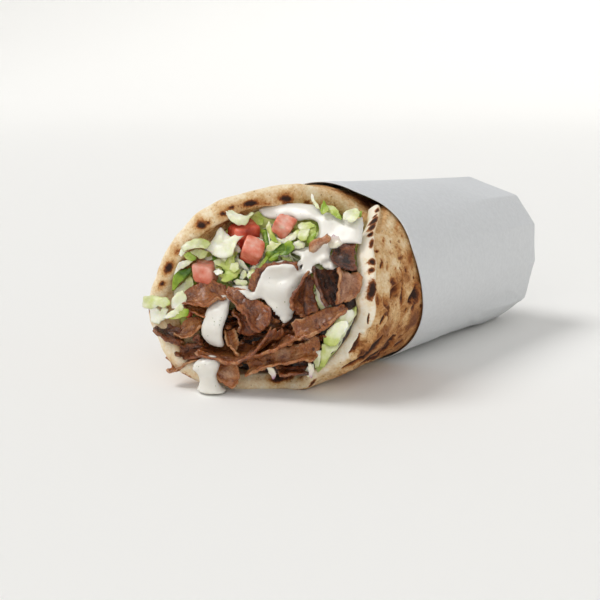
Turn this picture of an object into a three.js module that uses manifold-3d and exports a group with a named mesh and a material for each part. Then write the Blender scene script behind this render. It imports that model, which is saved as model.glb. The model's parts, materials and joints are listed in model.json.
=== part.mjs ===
// A gyro wrap: a thick round flatbread rolled round shaved meat, shredded lettuce, diced tomato
// and white sauce, with a paper sleeve folded shut over its back half.
// Millimetres, +Z up. The roll lies along Y and its open mouth faces -Y.
import * as THREE from "three";
import { mergeVertices } from "three/addons/utils/BufferGeometryUtils.js";
import { RoundedBoxGeometry } from "three/addons/geometries/RoundedBoxGeometry.js";
import Module from "manifold-3d";

const wasm = await Module();
wasm.setup();

// ---- Driving dimensions, in mm and degrees. Y is 0 at the mouth's middle, Z is 0 on the table. ----
const HALF_WIDTH = 42.6; // of the sleeved roll at Y 0
const HALF_HEIGHT = 44.2;
const TAPER = 0.031; // radius lost per mm of length
const SINK = 1.2; // the roll's own weight flattens its underside by this much
const GAP = 0.4; // between neighbouring pieces

const BREAD = {
  thickness: 7,
  edge: 52, // angle of the free edge of the outer lap, 0 at +X and 90 at the top
  turn: 397, // how far the bread goes round
  lapDrop: 7.8, // how far the inner end sinks to pass under the outer lap
  lapFrom: 305,
  lapTo: 351,
  flareReach: 32, // the flare dies out this far behind the lip
  cover: 1.5, // the sleeve's outer face stands this far off the bread
  back: 159,
  liftFrom: 20, // between these places along Y the sleeve comes between the bread and the table
  liftTo: 46,
  squash: 0.8, // the bread's thickness where it lies on the table, as a share
  dimple: 0.3,
  ruffle: 0.8, // waves of the lip along Y, long and short
  fineRuffle: 0.5,
  corner: 1.6, // the lip's corners
};
// Where the lip lies along Y, by the angle travelled from the free edge.
const LIP = [
  [0, 20],
  [16, 2],
  [32, -6],
  [50, -10],
  [70, -9],
  [90, -10],
  [118, -14],
  [142, -20],
  [190, -42.5],
  [206, -44],
  [225, -44],
  [252, -39],
  [272, -32],
  [300, -11],
  [312, -1],
  [322, 9],
  [332, 18],
  [345, 25],
  [397, 30],
];
// How far the lip flares outwards, by the same angle.
const FLARE = [
  [0, 0],
  [40, 1.5],
  [90, 2.5],
  [142, 2],
  [166, 5],
  [190, 9.8],
  [206, 10.2],
  [222, 9],
  [232, 8],
  [246, 5.2],
  [272, 3.2],
  [300, 2.2],
  [330, 1.8],
  [360, 1.5],
  [397, 1],
];
const PAPER = {
  thickness: 0.6,
  lift: 1.4, // it stands off the bread at the top
  liftLength: 60,
  liftRise: [68, 96], // angles between which it starts to stand off
  liftFall: [120, 180], // and lies down again
  square: 0.085, // towards the folded end the section grows square by this share
  squareFrom: 95,
};
// Where the front edge lies along Y, by the angle round the roll.
const PAPER_EDGE = [
  [-90, 47],
  [-70, 47],
  [-55, 46],
  [-40, 45],
  [-20, 41],
  [0, 35.5],
  [20, 32.3],
  [33, 33],
  [44, 33],
  [56, 30.5],
  [64, 27],
  [72, 24],
  [80, 22.6],
  [92, 20.3],
  [104, 17.9],
  [120, 18.5],
  [140, 22.8],
  [160, 28.5],
  [180, 35],
  [205, 42.5],
  [230, 47],
  [270, 47],
];
// The folded end: Y, and the share of the roll's section that is left.
const PAPER_END = [
  [158, 1],
  [162.5, 0.965],
  [164.5, 0.8],
  [165, 0.35],
];
const FILLING = {
  back: 156,
  lettuceStand: 3, // the lettuce's face stands out by this much, and the packed meat's lies back
  meatRecess: 6,
  lettuceLumps: 2.2,
  meatLumps: 1.5,
  heap: 1.15, // both faces are fullest in the middle
  splitRise: 0.42, // lettuce and meat part along a slope: its rise, its height and the gap in it
  splitHeight: 42,
  splitGap: 0.45,
  lapClear: 14, // degrees over which the wall steps off the tucked inner end
};
const MEAT = { thickness: 2.4, bow: 1.2 };
const DICE = 9.4;
const DIE = { height: 0.92, corner: 0.12 }; // shares of a die's side
// The filling's face leans back and to one side, and curves, round a place this far forward and up.
const MOUTH = { forward: 20, up: 45, skew: 0.2, lean: 0.35, curve: 0.008 };

// ---- Small helpers ----
const radians = (degrees) => (degrees * Math.PI) / 180;
const clamp01 = (t) => Math.min(1, Math.max(0, t));
const smooth = (from, to, x) => {
  const t = clamp01((x - from) / (to - from));
  return t * t * (3 - 2 * t);
};

// A smooth curve through [position, value] pairs.
function curveThrough(pairs) {
  const curve = new THREE.SplineCurve(pairs.map(([at, value]) => new THREE.Vector2(at, value)));
  const samples = curve.getPoints(pairs.length * 12);
  return (x) => {
    const next = samples.findIndex((p) => p.x >= x);
    if (next <= 0) return next === 0 ? samples[0].y : samples[samples.length - 1].y;
    const [a, b] = [samples[next - 1], samples[next]];
    return a.y + ((b.y - a.y) * (x - a.x)) / (b.x - a.x);
  };
}
const lipAt = curveThrough(LIP);
const flareAt = curveThrough(FLARE);
const paperEdgeAt = curveThrough(PAPER_EDGE);

// A soft repeating unevenness between -1 and 1, from a few waves.
const uneven = (a, b, seed) =>
  (Math.sin(a * 1.7 + seed) + Math.sin(b * 2.3 - seed * 1.3) + Math.sin((a + b) * 1.1 + seed * 2.1)) / 3;

// ---- The roll's form ----
const widthAt = (y) => HALF_WIDTH - TAPER * y;
const heightAt = (y) => HALF_HEIGHT - TAPER * y;
const axisHeight = (y) => heightAt(y) - SINK;

// A point of the roll's section: angle in degrees, and how far inside the sleeve's outer face.
function onRoll(angle, y, inside) {
  const a = radians(angle);
  const z = axisHeight(y) + (heightAt(y) - inside) * Math.sin(a);
  return new THREE.Vector3((widthAt(y) - inside) * Math.cos(a), y, z);
}

// The face of the filling: its Y for a place across (x) and up (z) the mouth.
function mouthY(x, z) {
  const up = z - MOUTH.up;
  return -MOUTH.forward + MOUTH.skew * x + MOUTH.lean * up + MOUTH.curve * up * up;
}

const facePoint = (x, z, out) => new THREE.Vector3(x, mouthY(x, z) - out, z);

// ---- Making closed meshes ----
function geometryOf(points, triangles) {
  const geometry = new THREE.BufferGeometry();
  geometry.setAttribute("position", new THREE.Float32BufferAttribute(points.flatMap((p) => p.toArray()), 3));
  geometry.setIndex(triangles);
  return geometry;
}

// A closed slab between two faces, each given by a function of (column, row).
function slab(columns, rows, frontFace, backFace) {
  const points = [];
  const at = (side, i, j) => side * (columns + 1) * (rows + 1) + j * (columns + 1) + i;
  for (const face of [frontFace, backFace]) {
    for (let j = 0; j <= rows; j++) {
      for (let i = 0; i <= columns; i++) points.push(face(i / columns, j / rows));
    }
  }
  const triangles = [];
  const quad = (a, b, c, d) => triangles.push(a, b, c, a, c, d);
  for (let j = 0; j < rows; j++) {
    for (let i = 0; i < columns; i++) {
      quad(at(0, i, j), at(0, i + 1, j), at(0, i + 1, j + 1), at(0, i, j + 1));
      quad(at(1, i, j), at(1, i, j + 1), at(1, i + 1, j + 1), at(1, i + 1, j));
    }
  }
  for (let i = 0; i < columns; i++) {
    quad(at(0, i + 1, 0), at(0, i, 0), at(1, i, 0), at(1, i + 1, 0));
    quad(at(0, i, rows), at(0, i + 1, rows), at(1, i + 1, rows), at(1, i, rows));
  }
  for (let j = 0; j < rows; j++) {
    quad(at(0, 0, j), at(0, 0, j + 1), at(1, 0, j + 1), at(1, 0, j));
    quad(at(0, columns, j + 1), at(0, columns, j), at(1, columns, j), at(1, columns, j + 1));
  }
  return geometryOf(points, triangles);
}

// A closed body from rings of points that run round it, with its two ends closed to one point each.
function ringBody(rings, firstPole, lastPole) {
  const around = rings[0].length;
  const points = [...rings.flat(), firstPole, lastPole];
  const triangles = [];
  for (let r = 0; r + 1 < rings.length; r++) {
    for (let k = 0; k < around; k++) {
      const [a, b] = [r * around + k, r * around + ((k + 1) % around)];
      triangles.push(a, a + around, b + around, a, b + around, b);
    }
  }
  const [first, last] = [points.length - 2, points.length - 1];
  const lastRing = (rings.length - 1) * around;
  for (let k = 0; k < around; k++) {
    const next = (k + 1) % around;
    triangles.push(first, k, next, last, lastRing + next, lastRing + k);
  }
  return geometryOf(points, triangles);
}

// A closed mesh as a solid that can be joined and cut.
function solidOf(geometry) {
  const bare = geometry.clone();
  bare.deleteAttribute("normal");
  bare.deleteAttribute("uv");
  const merged = mergeVertices(bare, 1e-4);
  const triVerts = new Uint32Array(merged.index.array);
  const vertProperties = merged.attributes.position.array;
  const made = new wasm.Manifold(new wasm.Mesh({ numProp: 3, vertProperties, triVerts }));
  if (made.volume() >= 0) return made;
  for (let i = 0; i < triVerts.length; i += 3) {
    [triVerts[i], triVerts[i + 1]] = [triVerts[i + 1], triVerts[i]];
  }
  return new wasm.Manifold(new wasm.Mesh({ numProp: 3, vertProperties, triVerts }));
}

// The largest body of a solid, as a geometry. Crumbs that a cut leaves are dropped.
function geometryOfSolid(solid) {
  const largest = solid.decompose().sort((a, b) => b.volume() - a.volume())[0];
  const mesh = largest.getMesh();
  const geometry = new THREE.BufferGeometry();
  geometry.setAttribute("position", new THREE.BufferAttribute(Float32Array.from(mesh.vertProperties), 3));
  geometry.setIndex(new THREE.BufferAttribute(Uint32Array.from(mesh.triVerts), 1));
  return geometry;
}

// ---- Flatbread ----
// How far the bread's outer face lies inside the sleeve, by the angle travelled from its free edge.
function breadInside(travel, y) {
  const behindLip = Math.max(0, y - lipAt(travel));
  const flare = flareAt(travel) * (1 - smooth(0, BREAD.flareReach, behindLip));
  const dimple = BREAD.dimple * uneven(travel / 16, y / 13, 2);
  return BREAD.cover + BREAD.lapDrop * smooth(BREAD.lapFrom, BREAD.lapTo, travel) - flare - dimple;
}

function breadPoint(travel, y, depth) {
  const p = onRoll(BREAD.edge - travel, y, breadInside(travel, y) + depth);
  const floor = (PAPER.thickness + GAP) * smooth(BREAD.liftFrom, BREAD.liftTo, y);
  p.z = Math.max(p.z, floor + Math.max(0, depth) * BREAD.squash);
  return p;
}

// grow swells the bread all round, for cutting its clearance from a neighbour.
function breadGeometry(grow = 0) {
  const [aroundSteps, alongSteps] = [42, 7];
  const [crowding, cornerShare] = [1.8, 0.06];
  const face = (isOuter) => (u, v) => {
    const travel = u * BREAD.turn;
    const ruffle = BREAD.ruffle * Math.sin(travel / 9.5) + BREAD.fineRuffle * Math.sin(travel / 5.3 + 1);
    const front = lipAt(travel) + ruffle - grow;
    // Rows crowd towards the lip, whose corners are rounded.
    const y = front + (BREAD.back + grow - front) * v ** crowding;
    const round = BREAD.corner * (1 - smooth(0, cornerShare, v));
    return breadPoint(travel, y, isOuter ? round - grow : BREAD.thickness - round + grow);
  };
  return slab(aroundSteps, alongSteps, face(true), face(false));
}

// ---- Paper sleeve ----
const paperEdge = (angle) => paperEdgeAt(angle > 270 ? angle - 360 : angle);

function paperPoint(angle, y, share, inside) {
  const a = radians(angle);
  const top = smooth(...PAPER.liftRise, angle) * (1 - smooth(...PAPER.liftFall, angle));
  const lift = PAPER.lift * top * Math.exp(-Math.max(0, y - paperEdge(angle)) / PAPER.liftLength);
  const square = 1 + PAPER.square * smooth(PAPER.squareFrom, PAPER_END[0][0], y) * Math.sin(2 * a) ** 2;
  const x = (widthAt(y) - inside + lift) * share * square * Math.cos(a);
  const z = axisHeight(y) + (heightAt(y) - inside + lift) * share * square * Math.sin(a);
  return new THREE.Vector3(x, y, Math.max(z, inside));
}

function paperGeometry() {
  const [around, along, crowding] = [30, 3, 1.3];
  const angles = Array.from({ length: around }, (_, k) => (k * 360) / around - 90);
  const turned = angles.map((angle) => (angle < 0 ? angle + 360 : angle));
  const tube = PAPER_END[0][0];
  const ring = (t, inside) =>
    turned.map((angle) => {
      const y = paperEdge(angle) + (tube - paperEdge(angle)) * t ** crowding;
      return paperPoint(angle, y, 1, inside);
    });
  const closing = (inside) =>
    PAPER_END.slice(1).map(([y, share]) => turned.map((angle) => paperPoint(angle, y - inside, share, inside)));
  const wall = (inside) => [
    ...Array.from({ length: along + 1 }, (_, i) => ring(i / along, inside)),
    ...closing(inside),
  ];
  const last = PAPER_END[PAPER_END.length - 1][0];
  const dome = 0.2;
  const pole = (inside) => new THREE.Vector3(0, last + dome - inside, axisHeight(last));
  return ringBody([...wall(0).reverse(), ...wall(PAPER.thickness)], pole(0), pole(PAPER.thickness));
}

// ---- Filling inside the roll ----
// The bread's inner wall, kept clear of the lapped end.
function wallInside(angle, y) {
  const travel = (((BREAD.edge - angle) % 360) + 360) % 360;
  const doubled = BREAD.turn - 360 + FILLING.lapClear;
  const underLap = travel < doubled ? 1 - smooth(doubled - FILLING.lapClear, doubled, travel) : 0;
  const own = breadInside(travel, y) + BREAD.thickness;
  const lapped = breadInside(travel + 360, y) + BREAD.thickness;
  return Math.max(own, own + (lapped - own) * underLap) + GAP;
}

function corePoint(angle, y, share) {
  const wall = onRoll(angle, y, wallInside(angle, y));
  const floor = BREAD.thickness * BREAD.squash + PAPER.thickness + 2 * GAP;
  wall.z = Math.max(wall.z, floor);
  const axis = new THREE.Vector3(0, y, axisHeight(y));
  return axis.lerp(wall, share);
}

// A core that fills the roll from its face to its back. out says how far its face stands forward.
function coreGeometry(out, lumps, seed) {
  const [around, along, capRings] = [20, 1, 3];
  const angles = Array.from({ length: around }, (_, k) => (k * 360) / around);
  const onFace = (angle, share) => {
    let p = corePoint(angle, 0, share);
    for (let pass = 0; pass < 4; pass++) {
      const bump = lumps * uneven(p.x / 4.2, p.z / 3.7, seed);
      const y = mouthY(p.x, p.z) - out * (FILLING.heap - share * share) + bump * (share < 1);
      p = corePoint(angle, y, share);
    }
    return p;
  };
  const rings = [];
  for (let c = 1; c <= capRings; c++) rings.push(angles.map((a) => onFace(a, c / capRings)));
  const edge = rings[rings.length - 1];
  for (let r = 1; r <= along; r++) {
    const t = r / along;
    rings.push(angles.map((a, k) => corePoint(a, edge[k].y + (FILLING.back - edge[k].y) * t, 1)));
  }
  const back = new THREE.Vector3(0, FILLING.back, axisHeight(FILLING.back));
  return ringBody(rings, onFace(0, 0), back);
}

// Half of space above (side 1) or below (side -1) the slope that parts lettuce from meat.
function halfSpace(side) {
  const size = 500;
  const box = new THREE.BoxGeometry(size, size, size);
  const tilt = Math.atan(FILLING.splitRise);
  box.translate(0, 0, side * (size / 2 + FILLING.splitGap / 2));
  box.rotateY(-tilt);
  box.translate(0, 0, FILLING.splitHeight);
  return solidOf(box);
}

// ---- Shaved meat ----
// Each slice spans from its near edge to its far edge, each given by three places it passes:
// [across, up, out], with out the distance in front of the filling's face.
const SLICES = {
  upper_leaf: {
    near: [[-32.5, 38.5, 14], [-21, 39.5, 15], [-13, 41.5, 11]],
    far: [[-37, 40.5, 11], [-29, 47, 7], [-18, 46.5, 6]],
  },
  upper_under: {
    near: [[-31.5, 36.5, 13], [-22.5, 34.5, 14], [-17.5, 36.5, 12]],
    far: [[-35, 37.5, 9], [-28, 36.5, 7], [-21, 38, 7]],
  },
  middle_drape: {
    near: [[-11, 42, 13], [-2.5, 37, 14], [4, 28, 12]],
    far: [[-16.5, 46.5, 8], [-3, 42.5, 6], [7.5, 36, 7]],
  },
  middle_flap: {
    near: [[-10, 37, 12], [-7.5, 32.5, 12], [-4.5, 27.5, 12]],
    far: [[-5, 36, 9], [-1.5, 32.5, 8], [0, 27, 7]],
  },
  hollow_chip: {
    near: [[-12.5, 27, 11], [-10, 22, 12], [-5.5, 18.5, 12]],
    far: [[-11, 29, 7], [-9, 25.5, 7], [-7, 21, 8]],
  },
  low_cradle: {
    near: [[-21.5, 19.5, 19], [-2.5, 16.5, 15], [8, 32, 9]],
    far: [[-27, 20.5, 4], [-10.5, 19.5, 0], [11, 28.5, 0]],
  },
  long_edge: {
    near: [[-1, 17.5, 13], [10, 22.5, 12], [20, 28, 10]],
    far: [[-6, 17.5, 3], [3, 22, 2], [13, 28.5, 2]],
  },
  long_ribbon: {
    near: [[19.5, 27.5, 10], [29, 32, 9], [37, 41.5, 6]],
    far: [[14, 32.5, 6], [24.5, 39, 4], [34.5, 42.5, 0]],
  },
  low_shelf: {
    near: [[-0.5, 11, 12], [13.5, 17, 11], [27.5, 19.5, 9]],
    far: [[-1, 16.5, 7], [12.5, 22.5, 4], [25.5, 28, 1]],
  },
  low_pocket: {
    near: [[11, 10.5, 9], [17, 11, 9], [23, 13, 7]],
    far: [[6.5, 12.5, 3], [13, 14, 2], [20.5, 14.5, 2]],
  },
  low_chip: {
    near: [[-4.5, 8.5, 12], [0.5, 10.5, 12], [5, 14, 10]],
    far: [[-5, 14.5, 8], [-1, 16, 7], [2.5, 16, 6]],
  },
  front_hang: {
    near: [[-14.5, 8, 15], [-12, 3.5, 15], [-6, 3, 15]],
    far: [[-16, 13.5, 11], [-12.5, 14.5, 10], [-7, 14, 10]],
  },
  left_low: {
    near: [[-40.5, 7, 15], [-32.5, 9, 16], [-24.5, 15.5, 14]],
    far: [[-44, 12, 9], [-38.5, 15, 9], [-30.5, 18.5, 8]],
  },
  left_tip: {
    near: [[-43.5, 26.5, 16], [-38, 22.5, 16.5], [-31, 19.5, 15]],
    far: [[-47, 27.5, 10], [-42, 28, 9], [-34, 24.5, 8]],
  },
  left_crumble: {
    near: [[-36.5, 16, 14], [-30, 14, 14.5], [-22.5, 17, 13]],
    far: [[-37.5, 20, 8], [-33, 19.5, 7], [-27, 20.5, 6]],
  },
  left_curl: {
    near: [[-34.5, 26, 14], [-28.5, 24.5, 14], [-23, 30, 13]],
    far: [[-36, 25.5, 8], [-33.5, 30, 7], [-26, 30.5, 7]],
  },
  left_loop: {
    near: [[-27, 21.5, 13], [-25.5, 25.5, 13], [-23.5, 26.5, 12]],
    far: [[-28.5, 17.5, 6], [-29.5, 20, 5], [-28, 22, 5]],
  },
  right_top: {
    near: [[28, 62, 10], [33.5, 58, 9], [38.5, 57, 5]],
    far: [[24.5, 64, 5], [27, 66, 3], [32.5, 65.5, 0]],
  },
  right_edge: {
    near: [[32.5, 58, 11], [36.5, 53, 12], [36.5, 44.5, 11]],
    far: [[37.5, 57, 2], [40.5, 49.5, 2], [36.5, 41, 3]],
  },
  right_inner: {
    near: [[22.5, 57, 11], [26.5, 50.5, 11], [31, 42.5, 9]],
    far: [[27, 56, -2], [31, 50, -4], [32, 42.5, -2]],
  },
  centre_stand: {
    near: [[22.5, 54.5, 12], [18, 47.5, 13], [18.5, 39, 12]],
    far: [[21, 52, 5], [22, 45.5, 3], [24.5, 38, 3]],
  },
  sauced_arch: {
    near: [[-5.5, 45, 8], [-2, 55.5, 8], [14.5, 58, 8]],
    far: [[-3, 40, 1], [1.5, 47, 0], [10.5, 50.5, 0]],
  },
  peeking_strip: {
    near: [[17.5, 65.5, 11], [20.5, 68, 11], [23.5, 70, 10]],
    far: [[17, 61.5, 8], [20.5, 64.5, 8], [24, 67.5, 7]],
  },
};

function slicePoint({ near, far }, u, v) {
  const through = (places) => {
    const [a, b, c] = places.map((p) => new THREE.Vector3(...p));
    const bend = b.clone().multiplyScalar(2).sub(a.clone().add(c).multiplyScalar(0.5));
    return new THREE.QuadraticBezierCurve3(a, bend, c).getPoint(u);
  };
  const p = through(near).lerp(through(far), v);
  return facePoint(p.x, p.y, p.z);
}

function sliceGeometry(spec, grow = 0) {
  const step = 0.02;
  // Only the rim moves outwards, so the swollen slice holds the plain one.
  const stretch = (t, size) => t + (t === 1 ? grow / size : 0) - (t === 0 ? grow / size : 0);
  const face = (side) => (u0, v0) => {
    const u = stretch(u0, slicePoint(spec, 0, v0).distanceTo(slicePoint(spec, 1, v0)));
    const v = stretch(v0, slicePoint(spec, u0, 0).distanceTo(slicePoint(spec, u0, 1)));
    const p = slicePoint(spec, u, v);
    const along = slicePoint(spec, u + step, v).sub(slicePoint(spec, u - step, v));
    const across = slicePoint(spec, u, v + step).sub(slicePoint(spec, u, v - step));
    const normal = along.cross(across).normalize();
    const bow = MEAT.bow * 4 * v0 * (1 - v0);
    return p.addScaledVector(normal, bow + side * (MEAT.thickness / 2 + grow));
  };
  const [columns, rows] = [5, 2];
  return slab(columns, rows, face(1), face(-1));
}

// ---- Diced tomato ----
// at is [across, up, out] in the mouth, turn is degrees about X, Y and Z.
const TOMATOES = [
  { at: [-1.5, 71, 4], turn: [20, 42, 15], size: DICE * 0.95 },
  { at: [-10.5, 60.5, 6], turn: [30, 38, 20], size: DICE * 1.03 },
  { at: [-30, 50, 5], turn: [6, 4, 22], size: DICE },
  { at: [-19, 66, 3], turn: [15, 12, -20], size: DICE * 1.15 },
  { at: [-34.5, 33.5, 6], turn: [20, 30, 10], size: DICE * 0.55 },
];

function tomatoGeometry({ at, turn, size }, grow = 0) {
  const side = size + 2 * grow;
  const box = new RoundedBoxGeometry(side, side, side * DIE.height, 1, side * DIE.corner);
  box.applyMatrix4(new THREE.Matrix4().makeRotationFromEuler(new THREE.Euler(...turn.map(radians))));
  const place = facePoint(...at);
  return box.translate(place.x, place.y, place.z);
}

// ---- White sauce ----
// A run of sauce is a line of places [across, up, out, half width]. flat is its depth for its width.
const SAUCE = {
  sauce_pour: [
    { flat: 0.4, run: [[-16, 77, 3, 4], [-5, 76, 3, 6], [6.5, 74, 4, 8.5], [19, 71, 4, 10.5], [30, 69, 2, 8]] },
    { flat: 0.4, run: [[24, 68, 4, 10], [15.5, 57.5, 6, 10.5], [12.5, 47, 7, 9.5], [14.5, 35.5, 7, 4]] },
    { flat: 0.45, run: [[9.5, 47, 7, 8], [-5, 44.5, 5.5, 5.5], [-14, 46, 4, 3.5]] },
  ],
  sauce_drip: [
    { flat: 0.7, run: [[-16.3, 42, 7, 4], [-16.8, 35, 11, 5.2], [-17.5, 25, 12, 5.4], [-18.2, 18.5, 9.5, 4.4]] },
  ],
  sauce_foot: [
    { flat: 0.85, run: [[-19.6, 19, 12, 4.6], [-19, 14.5, 14.5, 6.6], [-18.2, 8, 16, 3.8], [-18, -1, 16.5, 7]] },
  ],
};

function runGeometry({ flat, run }, grow) {
  const around = 7;
  const [endShare, domeShare] = [0.6, 0.4];
  const line = new THREE.CatmullRomCurve3(run.map(([x, z, out]) => facePoint(x, z, out)));
  const widths = new THREE.CatmullRomCurve3(run.map(([, , , half]) => new THREE.Vector3(half, 0, 0)));
  const outward = new THREE.Vector3(0, -1, 0);
  const last = run.length * 2 - 1;
  const rings = [];
  for (let r = 0; r <= last; r++) {
    const t = r / last;
    const tip = r === 0 || r === last ? endShare : 1;
    const half = widths.getPoint(t).x * tip + grow;
    const centre = line.getPoint(t);
    const wide = line.getTangent(t).cross(outward).normalize();
    const ring = [];
    for (let k = 0; k < around; k++) {
      const a = (k / around) * 2 * Math.PI;
      const p = centre.clone().addScaledVector(wide, half * Math.cos(a));
      ring.push(p.addScaledVector(outward, half * flat * Math.sin(a)));
    }
    rings.push(ring);
  }
  const poleAt = (t, way) => {
    const half = widths.getPoint(t).x;
    return line.getPoint(t).addScaledVector(line.getTangent(t), way * (half * domeShare + grow));
  };
  return ringBody(rings, poleAt(0, -1), poleAt(1, 1));
}

function sauceSolid(runs, grow = 0) {
  let whole = null;
  for (const run of runs) {
    const made = solidOf(runGeometry(run, grow));
    whole = whole ? whole.add(made) : made;
  }
  const [wide, deep] = [400, 60];
  const table = solidOf(new THREE.BoxGeometry(wide, wide, deep).translate(0, 0, -deep / 2 - grow));
  return whole.subtract(table);
}

// ---- Loose lettuce outside the bed ----
// A tuft is a crumpled lens of leaf: [across, up, out], its half sizes, and degrees about X, Y and Z.
const TUFTS = {
  lettuce_left: { at: [-47, 34, 14], half: [9, 4, 5], turn: [0, -8, 0] },
  lettuce_right: { at: [36, 32, 4], half: [5, 8, 9], turn: [0, 28, 0] },
};

function tuftGeometry({ at, half, turn }, grow = 0) {
  const crumple = 0.14;
  const tuft = new THREE.SphereGeometry(1, 9, 6);
  const bumps = tuft.attributes.position;
  for (let i = 0; i < bumps.count; i++) {
    const p = new THREE.Vector3().fromBufferAttribute(bumps, i);
    const swell = 1 + crumple * uneven(p.x * 2.6, p.z * 3.1 + p.y, at[0]);
    bumps.setXYZ(i, p.x * swell, p.y * swell, p.z * swell);
  }
  tuft.scale(...half.map((h) => h + grow));
  tuft.applyMatrix4(new THREE.Matrix4().makeRotationFromEuler(new THREE.Euler(...turn.map(radians))));
  const place = facePoint(...at);
  return tuft.translate(place.x, place.y, place.z);
}

// ---- Materials ----
const food = (color, roughness) => new THREE.MeshStandardMaterial({ color, roughness, metalness: 0 });
const MATERIALS = {
  bread: food(0xe6cfa3, 0.85),
  paper: food(0xe9e9e9, 0.75),
  meat: food(0x7d4a2c, 0.55),
  lettuce: food(0xc3d486, 0.5),
  tomato: food(0xdb5a48, 0.3),
  sauce: food(0xf1ede2, 0.35),
};

// ---- Assembly: each piece is cut clear of the ones placed before it ----
const wrap = new THREE.Group();
const placed = []; // swollen copies of what is already there

function place(name, material, solid, swollen) {
  let clear = solid;
  for (const other of placed) clear = clear.subtract(other);
  const mesh = new THREE.Mesh(geometryOfSolid(clear), MATERIALS[material]);
  mesh.name = name;
  wrap.add(mesh);
  placed.push(swollen.add(solid));
}

place("paper_sleeve", "paper", solidOf(paperGeometry()), solidOf(paperGeometry()));
place("flatbread", "bread", solidOf(breadGeometry()), solidOf(breadGeometry(GAP)));
TOMATOES.forEach((spec, i) => {
  place(`tomato_dice_${i + 1}`, "tomato", solidOf(tomatoGeometry(spec)), solidOf(tomatoGeometry(spec, GAP)));
});
for (const [name, spec] of Object.entries(SLICES)) {
  place(`meat_${name}`, "meat", solidOf(sliceGeometry(spec)), solidOf(sliceGeometry(spec, GAP)));
}
for (const [name, spec] of Object.entries(TUFTS)) {
  place(name, "lettuce", solidOf(tuftGeometry(spec)), solidOf(tuftGeometry(spec, GAP)));
}
for (const [name, strands] of Object.entries(SAUCE)) {
  place(name, "sauce", sauceSolid(strands), sauceSolid(strands, GAP));
}
const lettuceCore = solidOf(coreGeometry(FILLING.lettuceStand, FILLING.lettuceLumps, 1)).intersect(halfSpace(1));
const meatCore = solidOf(coreGeometry(-FILLING.meatRecess, FILLING.meatLumps, 4)).intersect(halfSpace(-1));
place("lettuce_bed", "lettuce", lettuceCore, lettuceCore);
place("meat_bed", "meat", meatCore, meatCore);

// The origin is on the table, under the middle of the whole.
const box = new THREE.Box3().setFromObject(wrap);
for (const mesh of wrap.children) {
  mesh.geometry.translate(-(box.min.x + box.max.x) / 2, -(box.min.y + box.max.y) / 2, -box.min.z);
}

export default wrap;
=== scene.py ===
"""A gyro wrap in its paper sleeve, laid out as a Blender add-on and run as a script.

The shapes are worked out in millimetres with the roll along Y, its mouth's middle at Y 0 and the
table at Z 0. to_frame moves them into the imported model's frame, in metres.
"""
import functools
import json
import math

import bmesh
import bpy
import numpy as np
from bpy.props import FloatProperty, FloatVectorProperty, IntProperty, PointerProperty
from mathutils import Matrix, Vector
from mathutils.bvhtree import BVHTree

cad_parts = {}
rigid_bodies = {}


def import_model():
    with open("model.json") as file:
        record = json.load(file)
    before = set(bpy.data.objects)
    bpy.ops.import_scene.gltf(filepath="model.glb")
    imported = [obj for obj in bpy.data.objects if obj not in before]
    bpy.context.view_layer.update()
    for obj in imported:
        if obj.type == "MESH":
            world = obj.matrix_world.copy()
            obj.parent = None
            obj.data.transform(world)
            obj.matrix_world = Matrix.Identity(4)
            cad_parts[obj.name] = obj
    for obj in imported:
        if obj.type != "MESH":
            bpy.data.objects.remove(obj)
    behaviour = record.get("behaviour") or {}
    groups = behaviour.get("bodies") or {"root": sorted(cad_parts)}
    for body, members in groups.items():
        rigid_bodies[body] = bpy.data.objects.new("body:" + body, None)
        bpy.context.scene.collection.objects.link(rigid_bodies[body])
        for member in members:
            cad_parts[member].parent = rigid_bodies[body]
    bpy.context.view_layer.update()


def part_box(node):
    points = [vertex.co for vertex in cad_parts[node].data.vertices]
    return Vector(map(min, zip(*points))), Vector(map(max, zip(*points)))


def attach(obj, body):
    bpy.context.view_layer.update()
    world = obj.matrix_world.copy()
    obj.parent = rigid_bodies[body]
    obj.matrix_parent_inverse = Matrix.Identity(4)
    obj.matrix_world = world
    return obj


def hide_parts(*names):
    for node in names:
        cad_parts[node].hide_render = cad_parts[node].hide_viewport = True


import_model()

bl_info = {
    "name": "Gyro Wrap",
    "version": (1, 0, 0),
    "blender": (4, 5, 0),
    "location": "3D View > Sidebar > Gyro Wrap",
    "description": "Builds a filled flatbread wrap in a paper sleeve",
    "category": "Add Mesh",
}

# Millimetres in a metre.
MM = 1000

# ---- The roll's form, in mm and degrees, as in the solids ----
HALF_WIDTH = 42.6
HALF_HEIGHT = 44.2
TAPER = 0.031
SINK = 1.2
GAP = 0.4
THICKNESS = 7.0
FREE_EDGE = 52.0
TURN = 397.0
LAP_DROP = 7.8
LAP_FROM, LAP_TO = 305.0, 351.0
# Past the inner end, the filling takes this many degrees to meet the outer lap.
LAP_FADE = 14
FLARE_REACH = 32.0
COVER = 1.5
BREAD_BACK = 159.0
LIP = [
    (0, 20), (16, 2), (32, -6), (50, -10), (70, -9), (90, -10), (118, -14), (142, -20), (190, -42.5),
    (206, -44), (225, -44), (252, -39), (272, -32), (300, -11), (312, -1), (322, 9), (332, 18), (345, 25),
    (397, 30),
]
FLARE = [
    (0, 0), (40, 1.5), (90, 2.5), (142, 2), (166, 5), (190, 9.8), (206, 10.2), (222, 9), (232, 8),
    (246, 5.2), (272, 3.2), (300, 2.2), (330, 1.8), (360, 1.5), (397, 1),
]
PAPER_EDGE = [
    (-90, 47), (-70, 47), (-55, 46), (-40, 45), (-20, 41), (0, 35.5), (20, 32.3), (33, 33), (44, 33),
    (56, 30.5), (64, 27), (72, 24), (80, 22.6), (92, 20.3), (104, 17.9), (120, 18.5), (140, 22.8),
    (160, 28.5), (180, 35), (205, 42.5), (230, 47), (270, 47),
]
PAPER_LIFT, PAPER_LIFT_LENGTH = 1.4, 60.0
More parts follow.
